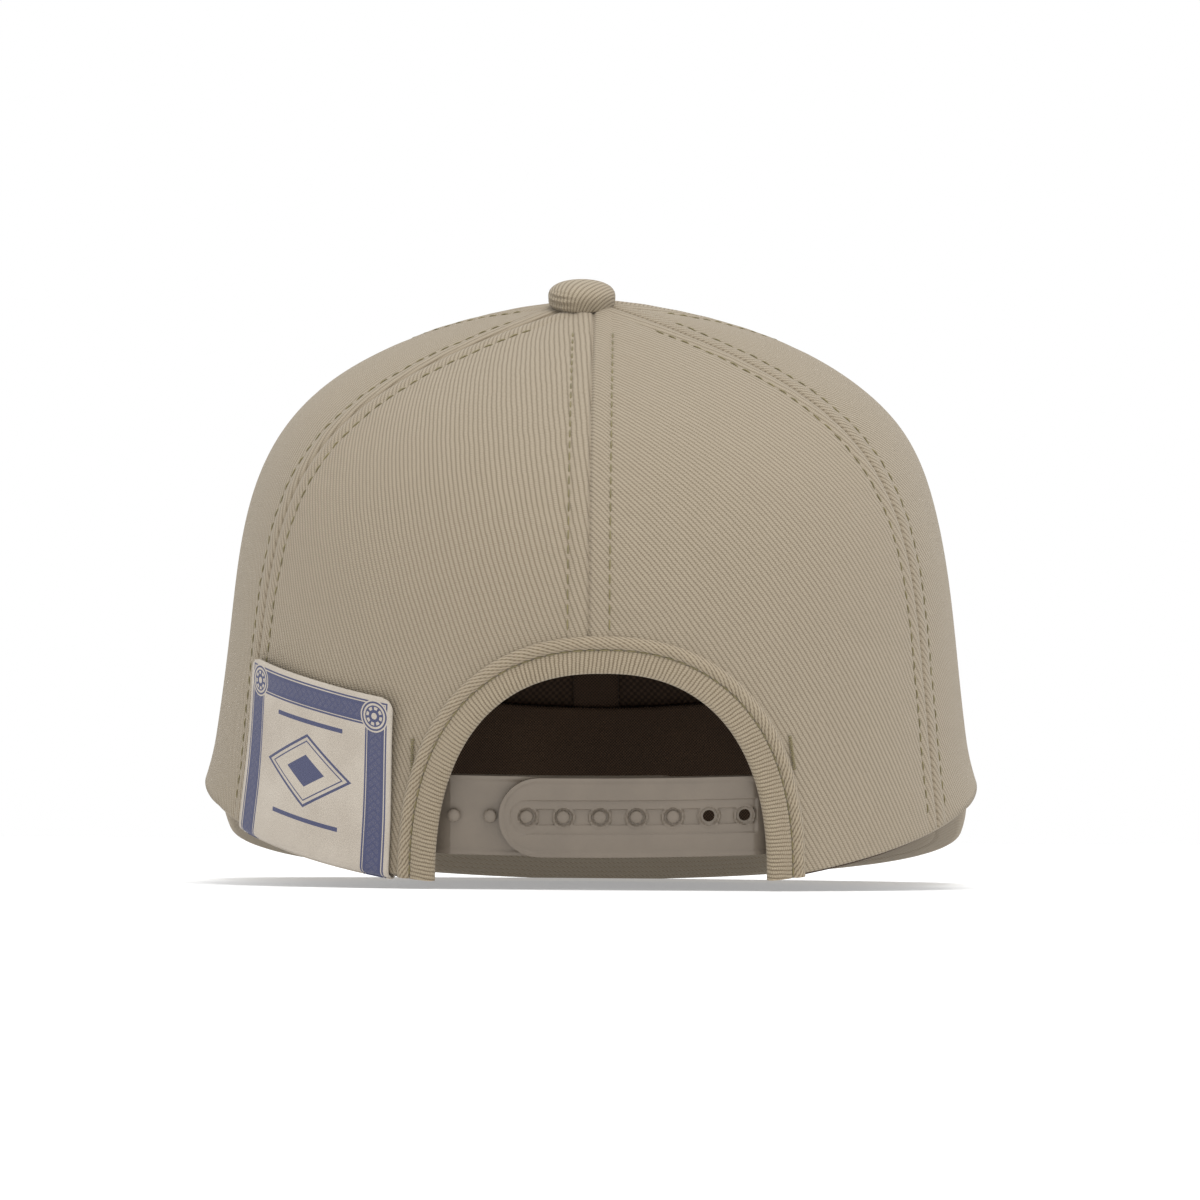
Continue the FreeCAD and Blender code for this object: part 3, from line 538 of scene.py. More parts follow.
def plain_weave(name, light, dark, pitch=0.5, depth=0.08):
    """Plain weave: warp and weft that pass over each other."""
    shader = Shader(name)
    u, v = shader.cloth()
    warp = (u * (math.pi / pitch)).sine()
    weft = (v * (math.pi / pitch)).sine()
    fibre = shader.noise(shader.vector(u, v), 2.5, 3.0)
    height = warp * weft * 0.5 + 0.5 + fibre * 0.4
    patch = shader.noise(shader.place(), 30.0, 3.0)
    # the dark colour where the weave dips is painted shade between the threads
    colour = shader.blend((height + patch * 0.5).ramp(0.2, 0.9), dark, light)
    return shader.finish(colour, 0.88 - fibre * 0.1, height, depth, Sheen_Weight=0.1,
                         Specular_IOR_Level=0.25)


GRAIN_SCALE = 900.0 * 2.2


def moulded(name, colour):
    """Satin moulded plastic with a fine grain, faint flow marks and light scuffs."""
    shader = Shader(name)
    place = shader.place()
    grain = shader.noise(place, GRAIN_SCALE, 2.0)
    flow = shader.noise(place, 90.0, 4.0)
    scuff = shader.noise(place, 350.0, 5.0, 0.75).ramp(0.18, 0.3)
    base = shader.blend((flow + 0.5).ramp(0.25, 0.75), scaled(colour, 0.93), scaled(colour, 1.07))
    base = shader.blend(scuff * 0.25, base, scaled(colour, 1.35))
    return shader.finish(base, 0.46 + flow * 0.2 + scuff * 0.1, grain + flow * 0.4, 0.03,
                         Specular_IOR_Level=0.45)


def thread(name, colour):
    """Twisted sewing thread."""
    shader = Shader(name)
    place = shader.place()
    twist = shader.noise(place, 2600.0, 2.0)
    tone = shader.noise(place, 160.0, 2.0)
    base = shader.blend((twist + tone * 0.8 + 0.5).ramp(0.2, 0.8),
                        scaled(colour, 0.72), scaled(colour, 1.12))
    return shader.finish(base, 0.6 + twist * 0.2, twist, 0.08, Sheen_Weight=0.2)


def metal(name, colour):
    """Pressed metal with fine rings of brushing."""
    shader = Shader(name)
    place = shader.place()
    grain = shader.noise(place, 3000.0, 2.0)
    stain = shader.noise(place, 120.0, 4.0)
    base = shader.blend((stain + 0.5).ramp(0.2, 0.8), scaled(colour, 0.8), colour)
    return shader.finish(base, 0.35 + stain * 0.25, grain, 0.01, Metallic=1.0)


RIB_PITCH = 0.88
ROLL_START = 15.14      # where the binding's outer roll starts, along its section
KHAKI_RIB = linear(157, 145, 126)
# KHAKI_GROOVE is the khaki darkened as painted shade for the twill's grooves
KHAKI_GROOVE = linear(114, 101, 80)
DARK = linear(74, 56, 40)
# DARKER is painted shade for the dips of the plain weaves
DARKER = linear(40, 28, 19)

crown_twill = twill("crown_twill", KHAKI_RIB, KHAKI_GROOVE)
brim_top_twill = twill("brim_top_twill", KHAKI_RIB, KHAKI_GROOVE, lean=32.0)
# the underside's rib colour is a little darker than the top's: painted shade under the brim on the same
# khaki twill
brim_under_twill = twill("brim_under_twill", linear(152, 140, 121), KHAKI_GROOVE, lean=-32.0)
button_twill = twill("button_twill", linear(161, 149, 129), linear(102, 88, 65), pitch=1.0, lean=-25.0)
binding_twill = ribbed_binding("binding_twill", linear(158, 145, 124), linear(108, 94, 72))
tape_weave = plain_weave("tape_weave", DARK, DARKER, pitch=0.45)
liner_weave = plain_weave("liner_weave", linear(66, 50, 36), DARKER, pitch=0.9, depth=0.15)
band_weave = plain_weave("band_weave", linear(84, 64, 46), DARKER, pitch=0.4)
strap_plastic = moulded("strap_plastic", linear(114, 104, 92))
board_plastic = moulded("board_plastic", linear(232, 231, 226))
olive_thread = thread("olive_thread", linear(116, 105, 68))
dark_thread = thread("dark_thread", linear(58, 48, 40))
pressed_metal = metal("pressed_metal", linear(190, 190, 192))

# ---------------------------------------------------------------- crown panels

SEAM_STITCH = 4.7        # topstitch rows, from the seam
STITCH_PITCH = 3.4
SEAM_END = 0.935        # the button covers the rest
SEAM_POINTS = 400
PANEL_COLUMNS = 90
PANEL_ROWS = 150
PANEL_TOP = 0.992
HEM_LIFTS = (-1.5, -0.9, -0.4, -0.12)
HEM_RISES = (0.004, 0.0008, 0.0, 0.0014)
HEM_START = 0.003       # where the plain cloth begins above the turned hem
MERIDIAN_LENGTH = 170   # about the length of a seam, which turns heights into millimetres
SEAM_GROOVE = 0.6
ALLOWANCE_SWELL = 0.3
THREAD_DIP = 0.24
PUCKER = 0.06
SWELL = 0.22
HEM_FLARE = 1.0         # the rim turns outwards a little at the sides
HEM_FLARE_RISE = 9.0


def seam_distance(angle, height):
    """Distance on the cloth to the nearest seam, in millimetres."""
    nearest = np.min([np.abs((angle - seam + 180) % 360 - 180) for seam in SEAMS], axis=0)
    return np.radians(nearest) * reach(angle, height)


def relief(angle, height):
    """How far the sewn cloth stands off the smooth crown."""
    distance = seam_distance(angle, height)
    climb = height * MERIDIAN_LENGTH
    lift = -SEAM_GROOVE * np.exp(-(distance / 0.45) ** 2)
    lift += ALLOWANCE_SWELL * np.exp(-((distance - 2.4) / 1.4) ** 2)
    tug = 0.75 + 0.25 * np.cos(climb * 2 * math.pi / STITCH_PITCH)
    lift -= THREAD_DIP * np.exp(-((distance - SEAM_STITCH) / 0.55) ** 2) * tug
    pucker = np.sin(climb * 0.83 + np.radians(angle) * 9) + np.sin(climb * 0.37 + np.radians(angle) * 5)
    lift += PUCKER * pucker * np.exp(-((distance - 7.0) / 5.0) ** 2)
    swell = np.sin(np.radians(angle) * 7 + climb * 0.045) * np.sin(climb * 0.06 + 1.3)
    lift += SWELL * swell * np.clip(distance / 12, 0, 1)
    above_hem = np.clip((height - lower_edge(angle)) * MERIDIAN_LENGTH / HEM_FLARE_RISE, 0, 1)
    beside = np.clip((np.abs(angle) - 64) / 10, 0, 1) * np.clip((116 - np.abs(angle)) / 10, 0, 1)
    lift += HEM_FLARE * beside * (1 - above_hem) ** 2
    return lift


def in_arch(x, level, grow):
    """True inside the arch grown by a distance."""
    across = np.abs((x - ARCH_SHIFT) / (ARCH_HALF_WIDTH + grow))
    upward = np.abs(np.clip(level, 0, None) / (ARCH_HEIGHT + grow))
    return across ** ARCH_POWER + upward ** ARCH_POWER < 1


def make_panel(name, start, end):
    centre = (start + end) / 2
    turns = (1 - np.cos(math.pi * np.arange(PANEL_COLUMNS + 1) / PANEL_COLUMNS)) / 2
    angles = start + (end - start) * turns
    low = lower_edge(angles)
    shares = np.linspace(0, 1, PANEL_ROWS)
    body_rows = low[None] + HEM_START + (PANEL_TOP - low[None] - HEM_START) * shares[:, None]
    hem_rows = low[None] + np.array(HEM_RISES)[:, None]
    heights = np.concatenate([hem_rows, body_rows])
    grid_angles = np.broadcast_to(angles, heights.shape)
    lifts = relief(grid_angles, heights)
    lifts[:len(HEM_LIFTS)] = np.array(HEM_LIFTS)[:, None]
    points = layer(grid_angles, heights, lifts)
    middle = crown(np.full(len(heights), centre), heights.mean(1))
    v = along(middle)[:, None] + 0 * grid_angles
    u = np.radians(grid_angles - centre) * reach(grid_angles, heights)
    keep = None
    if name.startswith("back"):
        centre_points = (points[:-1, :-1] + points[1:, 1:]) / 2
        keep = ~in_arch(centre_points[..., 0], centre_points[..., 2], 4.0)
        keep &= centre_points[..., 1] < 0
    obj = add_grid(name + "_cloth", points, np.stack([u, v], -1), crown_twill, 0.8, keep)
    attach(obj, "crown")
    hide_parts(name)


def make_panels():
    seams = (0.0, REAR_SEAM, FRONT_SEAM, 180.0)
    for name, start, end in zip(("back_panel", "side_panel", "front_panel"), seams, seams[1:]):
        make_panel(name + "_right", start, end)
        make_panel(name + "_left", -end, -start)


def make_seam_stitches():
    """Two rows of topstitching beside each seam."""
    runs = []
    for seam in SEAMS:
        for side in (-1, 1):
            first = lower_edge(np.array(seam)) + 0.02
            if seam == 0.0:
                first = height_at_level(0.0, ARCH_HEIGHT + BINDING_WIDTH + 1.0)
            heights = np.linspace(first, SEAM_END, SEAM_POINTS)
            angles = seam + side * np.degrees(SEAM_STITCH / reach(np.full(SEAM_POINTS, seam), heights))
            lifts = relief(angles, heights)
            points = layer(angles, heights, lifts + 0.05)
            runs.append((points, outward(angles, heights), STITCH_PITCH))
    obj = add_stitches("crown_topstitching", runs, olive_thread, 0.22)
    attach(obj, "crown")


# ---------------------------------------------------------------- arch binding

# the binding's section: distance from the arch's clear edge, height over the crown's surface
BINDING_SECTION = np.array([
    (7.8, -1.55), (6.0, -1.72), (4.0, -1.78), (1.0, -1.72), (0.15, -1.3), (-0.15, -0.6),
    (-0.05, 0.1), (0.35, 0.75), (1.2, 1.0), (2.6, 1.08), (4.1, 1.02), (4.9, 0.8), (5.25, 0.4),
    (5.55, 0.8), (5.9, 1.2), (6.6, 1.4), (7.3, 1.25), (7.9, 0.8), (8.3, 0.25), (8.35, -0.15)])
BINDING_STITCH = 5.25


def arch_line(spacing):
    """Points (x, z) of the arch's clear edge from the +X foot over the top, and its outward side."""
    turns = np.linspace(0.0, math.pi, 3000)
    cosine, sine = np.cos(turns), np.sin(turns)
    x = ARCH_SHIFT + ARCH_HALF_WIDTH * np.sign(cosine) * np.abs(cosine) ** (2 / ARCH_POWER)
    z = ARCH_HEIGHT * np.clip(sine, 0, None) ** (2 / ARCH_POWER)
    line = resample(np.stack([x, z], -1), spacing)
    line = line[line[:, 1] > 0.5]
    tangent = unit(np.gradient(line, axis=0))
    return line, np.stack([tangent[:, 1], -tangent[:, 0]], -1)


def binding_points(line, side, distance, height):
    """Points at a distance outside the arch's edge and a height over the crown."""
    place = line + side * np.asarray(distance)[..., None]
    angle, level = at_back(place[..., 0], np.clip(place[..., 1], 0.3, None))
    return layer(angle, level, height), outward(angle, level)


def make_binding():
    line, side = arch_line(0.22)
    distance = along(line)
    count = len(BINDING_SECTION)
    columns = []
    for q, h in BINDING_SECTION:
        ribs = 0.5 + 0.5 * np.cos(distance * 2 * math.pi / RIB_PITCH)
        weight = 1.0 if -0.1 < q < 4.6 and h > 0 else 0.0
        roll = 1.0 if q > 5 and h > 0.5 else 0.0
        wobble = 0.05 * np.sin(distance * 0.55 + q) + 0.04 * np.sin(distance * 0.21 + 1)
        pinch = 0.1 * np.cos(distance * 2 * math.pi / 3.1)
        height = h - 0.2 * weight * (1 - ribs) + roll * (wobble + pinch)
        columns.append(binding_points(line, side, np.full(len(line), q), height)[0])
    points = np.stack(columns, 1)
    across = along(BINDING_SECTION)
    uv = np.stack([np.broadcast_to(across, (len(line), count)),
                   np.broadcast_to(distance[:, None], (len(line), count))], -1)
    obj = add_grid("opening_binding_cloth", points, uv, binding_twill)
    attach(obj, "crown")
    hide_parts("opening_binding")

    sparse, sparse_side = arch_line(0.6)
    groove, normals = binding_points(sparse, sparse_side, np.full(len(sparse), BINDING_STITCH), 0.6)
    stitches = add_stitches("binding_stitching", [(groove, normals, 3.0)], olive_thread, 0.2)
    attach(stitches, "crown")


# ends of the two bar tacks as (x, level), upper end first
BAR_TACKS = (((45.5, 33.0), (46.6, 25.5)), ((-39.4, 32.5), (-39.6, 24.0)))


def make_bar_tacks():
    """Short blocks of satin stitches that hold the strap's sewn ends."""
    runs = []
    for (top_x, top_z), (foot_x, foot_z) in BAR_TACKS:
        for share in np.linspace(0, 1, 17):
            x = top_x + (foot_x - top_x) * share
            z = top_z + (foot_z - top_z) * share
            ends = np.array([x - 0.6, x, x + 0.6])
            angle, height = at_back(ends, np.array([z - 0.1, z, z + 0.1]))
            normals = outward(angle, height)
            runs.append((layer(angle, height, np.full(3, 0.4)), normals, 1.18))
    obj = add_stitches("bar_tacks", runs, olive_thread, 0.19)
    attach(obj, "crown")


# ---------------------------------------------------------------- inner cloth

MEAN_WALL = 72          # mean pull of the meridians' walls, for the weave's scale
LINER_COLUMNS = 60
LINER_TOP = 0.93
LINER_DEPTH = 0.95
LINER_THICKNESS = 0.6
TAPE_ROWS = 90
TAPE_HALF_WIDTH = 6.0
BAND_COLUMNS = 260
BAND_HEIGHT = 32.0 * 1.06
BAND_DEPTH = 2.55
BAND_THICKNESS = 0.85


def make_layer(name, node, angles, low, high, lift, thickness, material, rows=60, wave=0.0):
    """A cloth layer inside the crown between two heights for each angle."""
    shares = np.linspace(0, 1, rows)[:, None]
    heights = low[None] + (high - low)[None] * shares
    grid_angles = np.broadcast_to(angles, heights.shape)
    centre = angles.mean()
    ripple = wave * np.sin(np.radians(grid_angles) * 22 + heights * 9) * np.sin(heights * 40)
    points = layer(grid_angles, heights, -lift + ripple)
    u = np.radians(grid_angles - centre) * reach(grid_angles, heights)
    v = heights * 3 * MEAN_WALL
    obj = add_grid(name, points, np.stack([u, v], -1), material, thickness)
    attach(obj, "crown")
    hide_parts(node)


def make_inside():
    """Front liners, seam tapes and the sweatband."""
    for suffix, side in (("right", 1), ("left", -1)):
        ends = sorted((side * (FRONT_SEAM + 2.5), side * 179.9))
        angles = np.linspace(*ends, LINER_COLUMNS)
        low = lower_edge(angles) + 0.01
        make_layer(f"front_liner_{suffix}", f"front_buckram_{suffix}", angles, low,
                   np.full(LINER_COLUMNS, LINER_TOP), LINER_DEPTH, LINER_THICKNESS,
                   liner_weave, 80, 0.05)
    tapes = {"back": 0.0, "back_right": REAR_SEAM, "back_left": -REAR_SEAM,
             "front_right": FRONT_SEAM, "front_left": -FRONT_SEAM, "front": 180.0}
    for name, seam in tapes.items():
        low = float(lower_edge(np.array(seam))) + 0.015
        if name == "back":
            low = float(height_at_level(0.0, ARCH_HEIGHT + BINDING_WIDTH + 1.5))
        heights = np.linspace(low, SEAM_END, TAPE_ROWS)[:, None]
        across = np.linspace(-TAPE_HALF_WIDTH, TAPE_HALF_WIDTH, 13)[None]
        grid_angles = seam + np.degrees(across / reach(np.full((TAPE_ROWS, 1), seam), heights))
        heights = np.broadcast_to(heights, grid_angles.shape)
        depth = 1.9 if name.startswith("front") else 1.1
        edge = 0.12 * np.exp(-((np.abs(across) - 4.7) / 0.8) ** 2)
        points = layer(grid_angles, heights, -depth - 0.05 + edge)
        v = along(crown(np.full(TAPE_ROWS, seam), heights[:, 0]))[:, None] + 0 * across
        uv = np.stack([np.broadcast_to(across, v.shape), v], -1)
        obj = add_grid(f"seam_tape_{name}_cloth", points, uv, tape_weave, 0.4)
        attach(obj, "crown")
        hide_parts(f"seam_tape_{name}")
    clear = ARCH_HALF_WIDTH + BINDING_WIDTH + 1.5
    right_angle = float(at_back(ARCH_SHIFT + clear, 0.3)[0])
    left_angle = float(at_back(ARCH_SHIFT - clear, 0.3)[0])
    angles = np.linspace(right_angle, 360 + left_angle, BAND_COLUMNS)
    low = lower_edge(angles) - 0.004
    _, _, _, _, wall = meridian(angles)
    high = low + BAND_HEIGHT / (3 * wall)
    make_layer("sweatband_cloth", "sweatband", angles, low, high, BAND_DEPTH, BAND_THICKNESS,
               band_weave, 40, 0.12)
    heights = low + 0.02
    thread_lift = np.full(BAND_COLUMNS, -BAND_DEPTH - BAND_THICKNESS - 0.02)
    rows = (layer(angles, heights, thread_lift), -outward(angles, heights), 3.2)
    stitches = add_stitches("sweatband_stitching", [rows], dark_thread, 0.18)
    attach(stitches, "crown")


# ---------------------------------------------------------------- snap closure

STRAP_HEIGHT = 18.3
STRAP_LEVEL = 15.0
STRAP = 1.3
STRAP_RADIUS = 250.0
STRAP_DEPTH = 3.4
STRAP_GAP = 0.3
STRAP_FLEX = 2.0
SNAP_PITCH = 8.25
SNAP_COUNT = 7
SNAP_FIRST = -13.7
TIP = 6.4
SEWN_LENGTH = 9.0
HOLE_RADIUS = 1.35
COUNTERSINK = 2.15
SINK_DEPTH = 0.85
PEG_RADIUS = 1.5
PEG_SHOULDER = 0.95
PEG_CROWN = 0.72
EDGE_ROWS_DEPTH = 0.6   # the strap's mesh is finer this close to its edges


def strap_frame():
    """Centre of the closure's arc, and its right and left flex points, in the rim plane."""
    ends = []
    for side in (1, -1):
        x = ARCH_SHIFT + side * (ARCH_HALF_WIDTH - STRAP_FLEX)
        angle, height = at_back(np.array(x), STRAP_LEVEL)
        ends.append(layer(angle, height, np.array(-STRAP_DEPTH))[:2])
    right, left = ends
    chord = right - left
    half = np.linalg.norm(chord) / 2
    inward = unit(np.array([-chord[1], chord[0]]))
    centre = (right + left) / 2 + inward * math.sqrt(STRAP_RADIUS ** 2 - half ** 2)
    return centre, right, left


ARC_CENTRE, FLEX_RIGHT, FLEX_LEFT = strap_frame()


def strap_path(radius, side, tip_x, depth):
    """Points (x, y) of a strap's outer face from its free tip to its sewn end, evenly spaced."""
    flex = FLEX_RIGHT if side > 0 else FLEX_LEFT
    turn_to_flex = math.asin((flex[0] - ARC_CENTRE[0]) / STRAP_RADIUS)
    turn_to_tip = math.asin((tip_x - ARC_CENTRE[0]) / STRAP_RADIUS)
    turns = np.linspace(turn_to_tip, turn_to_flex, 200)
    arc = ARC_CENTRE + radius * np.stack([np.sin(turns), -np.cos(turns)], -1)
    xs = flex[0] + side * np.linspace(1.5, SEWN_LENGTH, 12)
    angle, height = at_back(xs, STRAP_LEVEL)
    sewn = layer(angle, height, np.full(12, -depth))[:, :2]
    return resample(np.concatenate([arc, sewn]), 0.3)


def strap_relief(s, z, holes, ahead):
    """Height of a strap's face: edge beads, a round-ended channel and sinks round the holes."""
    half = STRAP_HEIGHT / 2
    from_end = np.where(s < half, half - np.hypot(half - s, z), half - np.abs(z))

    def step(value, low, high):
        share = np.clip((value - low) / (high - low), 0, 1)
        return share * share * (3 - 2 * share)

    lift = 0.32 * (1 - step(from_end, 0.75, 1.15))
    if not holes:
        return lift
    first = TIP
    channel = np.where(s < first, np.hypot(s - first, z), np.abs(z))
    end_stop = step(s, ahead - 0.4, ahead)
    lift -= 0.38 * (1 - step(channel, 3.75, 4.1)) * (1 - end_stop)
    groove = np.where(s < first, 9.0, np.abs(z))
    lift -= 0.42 * (1 - step(groove, 1.6, 1.85)) * (1 - end_stop)
    for i in range(SNAP_COUNT):
        away = np.hypot(s - first - i * SNAP_PITCH, z)
        collar = 1 - step(away, COUNTERSINK + 0.35, COUNTERSINK + 0.6)
        lift = lift * (1 - collar) - 0.2 * collar
        sink = 1 - step(away, COUNTERSINK - 0.25, COUNTERSINK)
        lift = lift * (1 - sink) - SINK_DEPTH * sink
    return lift


def make_strap(name, radius, side, tip_x, depth, holes):
    """A closed strip along the closure's arc with a round free end."""
    path = strap_path(radius, side, tip_x, depth)
    total = along(path)[-1]
    distance = along(path)
    half = STRAP_HEIGHT / 2
    brink = half - EDGE_ROWS_DEPTH
    z = np.concatenate([np.linspace(-half, -brink, 4)[:-1], np.linspace(-brink, brink, 58),
                        np.linspace(brink, half, 4)[1:]])
    start = half - np.sqrt(np.clip(half ** 2 - z ** 2, 0, None))
    count = len(path)
    s = start[:, None] + (total - start)[:, None] * np.linspace(0, 1, count)[None]
    level = np.broadcast_to(z[:, None], s.shape)

    def spot(values):
        return np.interp(values, distance, path[:, 0]), np.interp(values, distance, path[:, 1])

    x, y = spot(s)
    ahead_x, ahead_y = spot(np.clip(s + 0.4, 0, total))
    behind_x, behind_y = spot(np.clip(s - 0.4, 0, total))
    tangent = unit(np.stack([ahead_x - behind_x, ahead_y - behind_y], -1))
    normal = np.stack([side * -tangent[..., 1], side * tangent[..., 0]], -1)
    normal *= np.sign(np.sum(normal * (np.stack([x, y], -1) - ARC_CENTRE), -1))[..., None]
    flex_at = float(np.interp(abs((FLEX_RIGHT if side > 0 else FLEX_LEFT)[0] - tip_x),
                              np.abs(path[:, 0] - tip_x), distance))
    lift = strap_relief(s, level, holes, flex_at + 1.0)

    def face(height):
        return np.stack([x + normal[..., 0] * height, y + normal[..., 1] * height,
                         STRAP_LEVEL + level], -1)

    front = face(lift)
    back = face(np.full(s.shape, -STRAP))
    rows, columns = s.shape
    size = rows * columns
    quads = grid_faces(rows, columns)
    if side < 0:
        quads = quads[:, ::-1]
    faces = [tuple(q) for q in quads[:, ::-1]] + [tuple(q + size) for q in quads]
    rim = ([(0, c) for c in range(columns)] + [(r, columns - 1) for r in range(1, rows)]
           + [(rows - 1, c) for c in range(columns - 2, -1, -1)] + [(r, 0) for r in range(rows - 2, 0, -1)])
    ring = [r * columns + c for r, c in rim]
    for a, b in zip(ring, ring[1:] + ring[:1]):
        faces.append((a, b, b + size, a + size) if side > 0 else (a, a + size, b + size, b))
    points = np.concatenate([front.reshape(-1, 3), back.reshape(-1, 3)])
    obj = add_mesh(name, points, faces, strap_plastic)
    return obj, path, distance


def lathe(profile, sides, origin, axis):
    """Points and faces of a turned shape; the profile is (radius, height) from foot to top."""
    axis = unit(np.asarray(axis, float))
    helper = np.array([0.0, 0.0, 1.0]) if abs(axis[2]) < 0.9 else np.array([1.0, 0.0, 0.0])
    right = unit(np.cross(helper, axis))
    ahead = np.cross(axis, right)
    turns = np.arange(sides) * 2 * math.pi / sides
    ring = np.cos(turns)[:, None] * right + np.sin(turns)[:, None] * ahead
    points = [origin + radius * ring + height * axis for radius, height in profile]
    faces = []
    for k in range(len(profile) - 1):
        for j in range(sides):
            n = (j + 1) % sides
            faces.append((k * sides + j, k * sides + n, (k + 1) * sides + n, (k + 1) * sides + j))
    last = (len(profile) - 1) * sides
    faces.append(tuple(range(sides - 1, -1, -1)))
    faces.append(tuple(range(last, last + sides)))
    return np.concatenate(points), faces


def snap_shapes(path, distance, profile, sides):
    """The same turned shape at every snap along a strap's path, facing outwards."""
    shapes = []
    for i in range(SNAP_COUNT):
        s = TIP + i * SNAP_PITCH
        spot = np.array([np.interp(s, distance, path[:, k]) for k in range(2)])
        out = unit(spot - ARC_CENTRE)
        shapes.append(lathe(profile, sides, np.array([*spot, STRAP_LEVEL]), np.array([*out, 0.0])))
    return joined(shapes)


def apply_modifiers(obj):
    graph = bpy.context.evaluated_depsgraph_get()
    mesh = bpy.data.meshes.new_from_object(obj.evaluated_get(graph))
    obj.modifiers.clear()
    obj.data = mesh


def make_closure():
    """The outer strap with its holes and the inner strap with its pegs."""
    strap, path, distance = make_strap("hole_strap_moulding", STRAP_RADIUS, 1,
                                       SNAP_FIRST - TIP, STRAP_DEPTH, True)
    points, faces = snap_shapes(path, distance, [(HOLE_RADIUS, -2.5), (HOLE_RADIUS, 1.5)], 40)
    cutter = add_mesh("strap_hole_cutter", points, faces, strap_plastic)
    cut = strap.modifiers.new("holes", "BOOLEAN")
    cut.operation = "DIFFERENCE"
    cut.solver = "EXACT"
    cut.object = cutter
    apply_modifiers(strap)
    bpy.data.objects.remove(cutter)
    strap.data.set_sharp_from_angle(angle=math.radians(40))
    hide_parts("snap_strap_holes", "hole_strap_tab")
    flex_blend(strap, FLEX_RIGHT, 1)

    last = SNAP_FIRST + (SNAP_COUNT - 3) * SNAP_PITCH
    inner_radius = STRAP_RADIUS - STRAP - STRAP_GAP
    inner_depth = STRAP_DEPTH + STRAP + STRAP_GAP
    pegs, path, distance = make_strap("peg_strap_moulding", inner_radius, -1, last + TIP,
                                      inner_depth, False)
    dome = [(PEG_RADIUS * 0.86, -0.2), (PEG_RADIUS * 0.86, 0.5), (PEG_RADIUS, PEG_SHOULDER)]
    for turn in np.linspace(0, math.pi / 2, 7)[1:-1]:
        dome.append((PEG_RADIUS * math.cos(turn), PEG_SHOULDER + PEG_CROWN * math.sin(turn)))
    dome.append((PEG_RADIUS * 0.08, 1.67))
    points, faces = snap_shapes(path, distance, dome, 32)
    heads = add_mesh("peg_heads", points, faces, strap_plastic)
    pegs.data.set_sharp_from_angle(angle=math.radians(40))
    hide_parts("snap_strap_pegs", "peg_strap_tab")
    flex_blend(pegs, FLEX_LEFT, -1)
    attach(heads, "peg_strap")


def flex_blend(obj, flex, side):
    """Bakes a strap's placement into its mesh."""
    sewn = to_world(np.array([flex[0] + side * 1.6, flex[1], STRAP_LEVEL]))
    free = to_world(np.array([flex[0] - side * 0.6, flex[1], STRAP_LEVEL]))
    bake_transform(obj)


# ---------------------------------------------------------------- label

LABEL_FROM = -60.5
LABEL_TO = -28.5
LABEL_HEIGHT = 40.3
LABEL_TAIL = 12.0
LABEL_CORNER = 3.0
LABEL_WIDTH = 48.3
LABEL_DROP = 0.9


def label_surface(levels, depths):
    """Points and cloth coordinates of the label at levels above the rim and depths in the cloth."""
    inset = LABEL_HEIGHT - levels
    round_off = np.where(inset < LABEL_CORNER,
                         LABEL_CORNER - np.sqrt(np.clip(LABEL_CORNER ** 2
                                                        - (LABEL_CORNER - inset) ** 2, 0, None)), 0.0)
    shares = np.linspace(-1, 1, 60)[None]
    half = (LABEL_WIDTH / 2 - round_off)[:, None] / (LABEL_WIDTH / 2)
    across = shares * half
    angles = (LABEL_FROM + LABEL_TO) / 2 + across * (LABEL_TO - LABEL_FROM) / 2
    foot = crown(angles, np.zeros(angles.shape))[..., 2]
    heights = height_at_level(angles, foot + levels[:, None])
    curl = 0.35 * np.abs(across) ** 3 * np.clip(levels[:, None] / LABEL_HEIGHT, 0, 1)
    wave = 0.22 * np.sin(across * 4.1 + levels[:, None] * 0.11) * np.clip(levels[:, None] / 12, 0, 1)
    points = layer(angles, heights, -depths[:, None] + curl + wave)
    return points, (across + 1) * LABEL_WIDTH / 2


def make_label():
    outer = -1.35
    rise = np.linspace(0.8, LABEL_HEIGHT, 75)
    bend = np.linspace(-90, 0, 9)
    leaf_levels = np.concatenate([0.8 + 1.7 * np.sin(np.radians(bend))[:-1], rise])
    leaf_depths = np.concatenate([outer + 1.6 * (1 - np.cos(np.radians(bend)))[:-1],
                                  np.full(75, outer) + 0.35 * np.linspace(0, 1, 75) ** 2 * -1])
    points, u = label_surface(leaf_levels, leaf_depths)
    v = np.broadcast_to(leaf_levels[:, None], u.shape)
    printed = label_print()
    leaf = add_grid("label_leaf_cloth", points, np.stack([u, v], -1), printed, 0.45)
    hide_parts("label_flap")
    middle = (LABEL_FROM + LABEL_TO) / 2
    low = to_world(layer(np.array(middle), np.array(0.0), np.array(1.0)) + np.array([0, 0, -LABEL_DROP]))
    high = to_world(layer(np.array(middle), np.array(0.0), np.array(1.0)) + np.array([0, 0, 6.0]))
    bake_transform(leaf)

    tail_levels = np.concatenate([[-0.9, -0.9, -0.85, -0.6, -0.1], np.linspace(0.6, LABEL_TAIL, 14)])
    tail_depths = np.concatenate([[0.25, 0.9, 1.4, 1.8, 2.0], np.full(14, 2.05)])
    tail_points, u = label_surface(tail_levels, tail_depths)
    v = np.broadcast_to(-along(np.stack([tail_depths, tail_levels], -1))[:, None], u.shape)
    tail = add_grid("label_tail_cloth", tail_points, np.stack([u, v], -1), printed, 0.35)
    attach(tail, "crown")
    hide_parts("label_tail")


BRAID_CENTRE = 4.05     # distances of the printed border from the label's edge
BRAID_HALF_WIDTH = 1.65
BRAID_PITCH = 1.9
BRAID_FILL = 0.72
ROSETTE_INSET = 4.6
MARK_LEVEL = 19.0
MARK_TO_BAR = 11.4


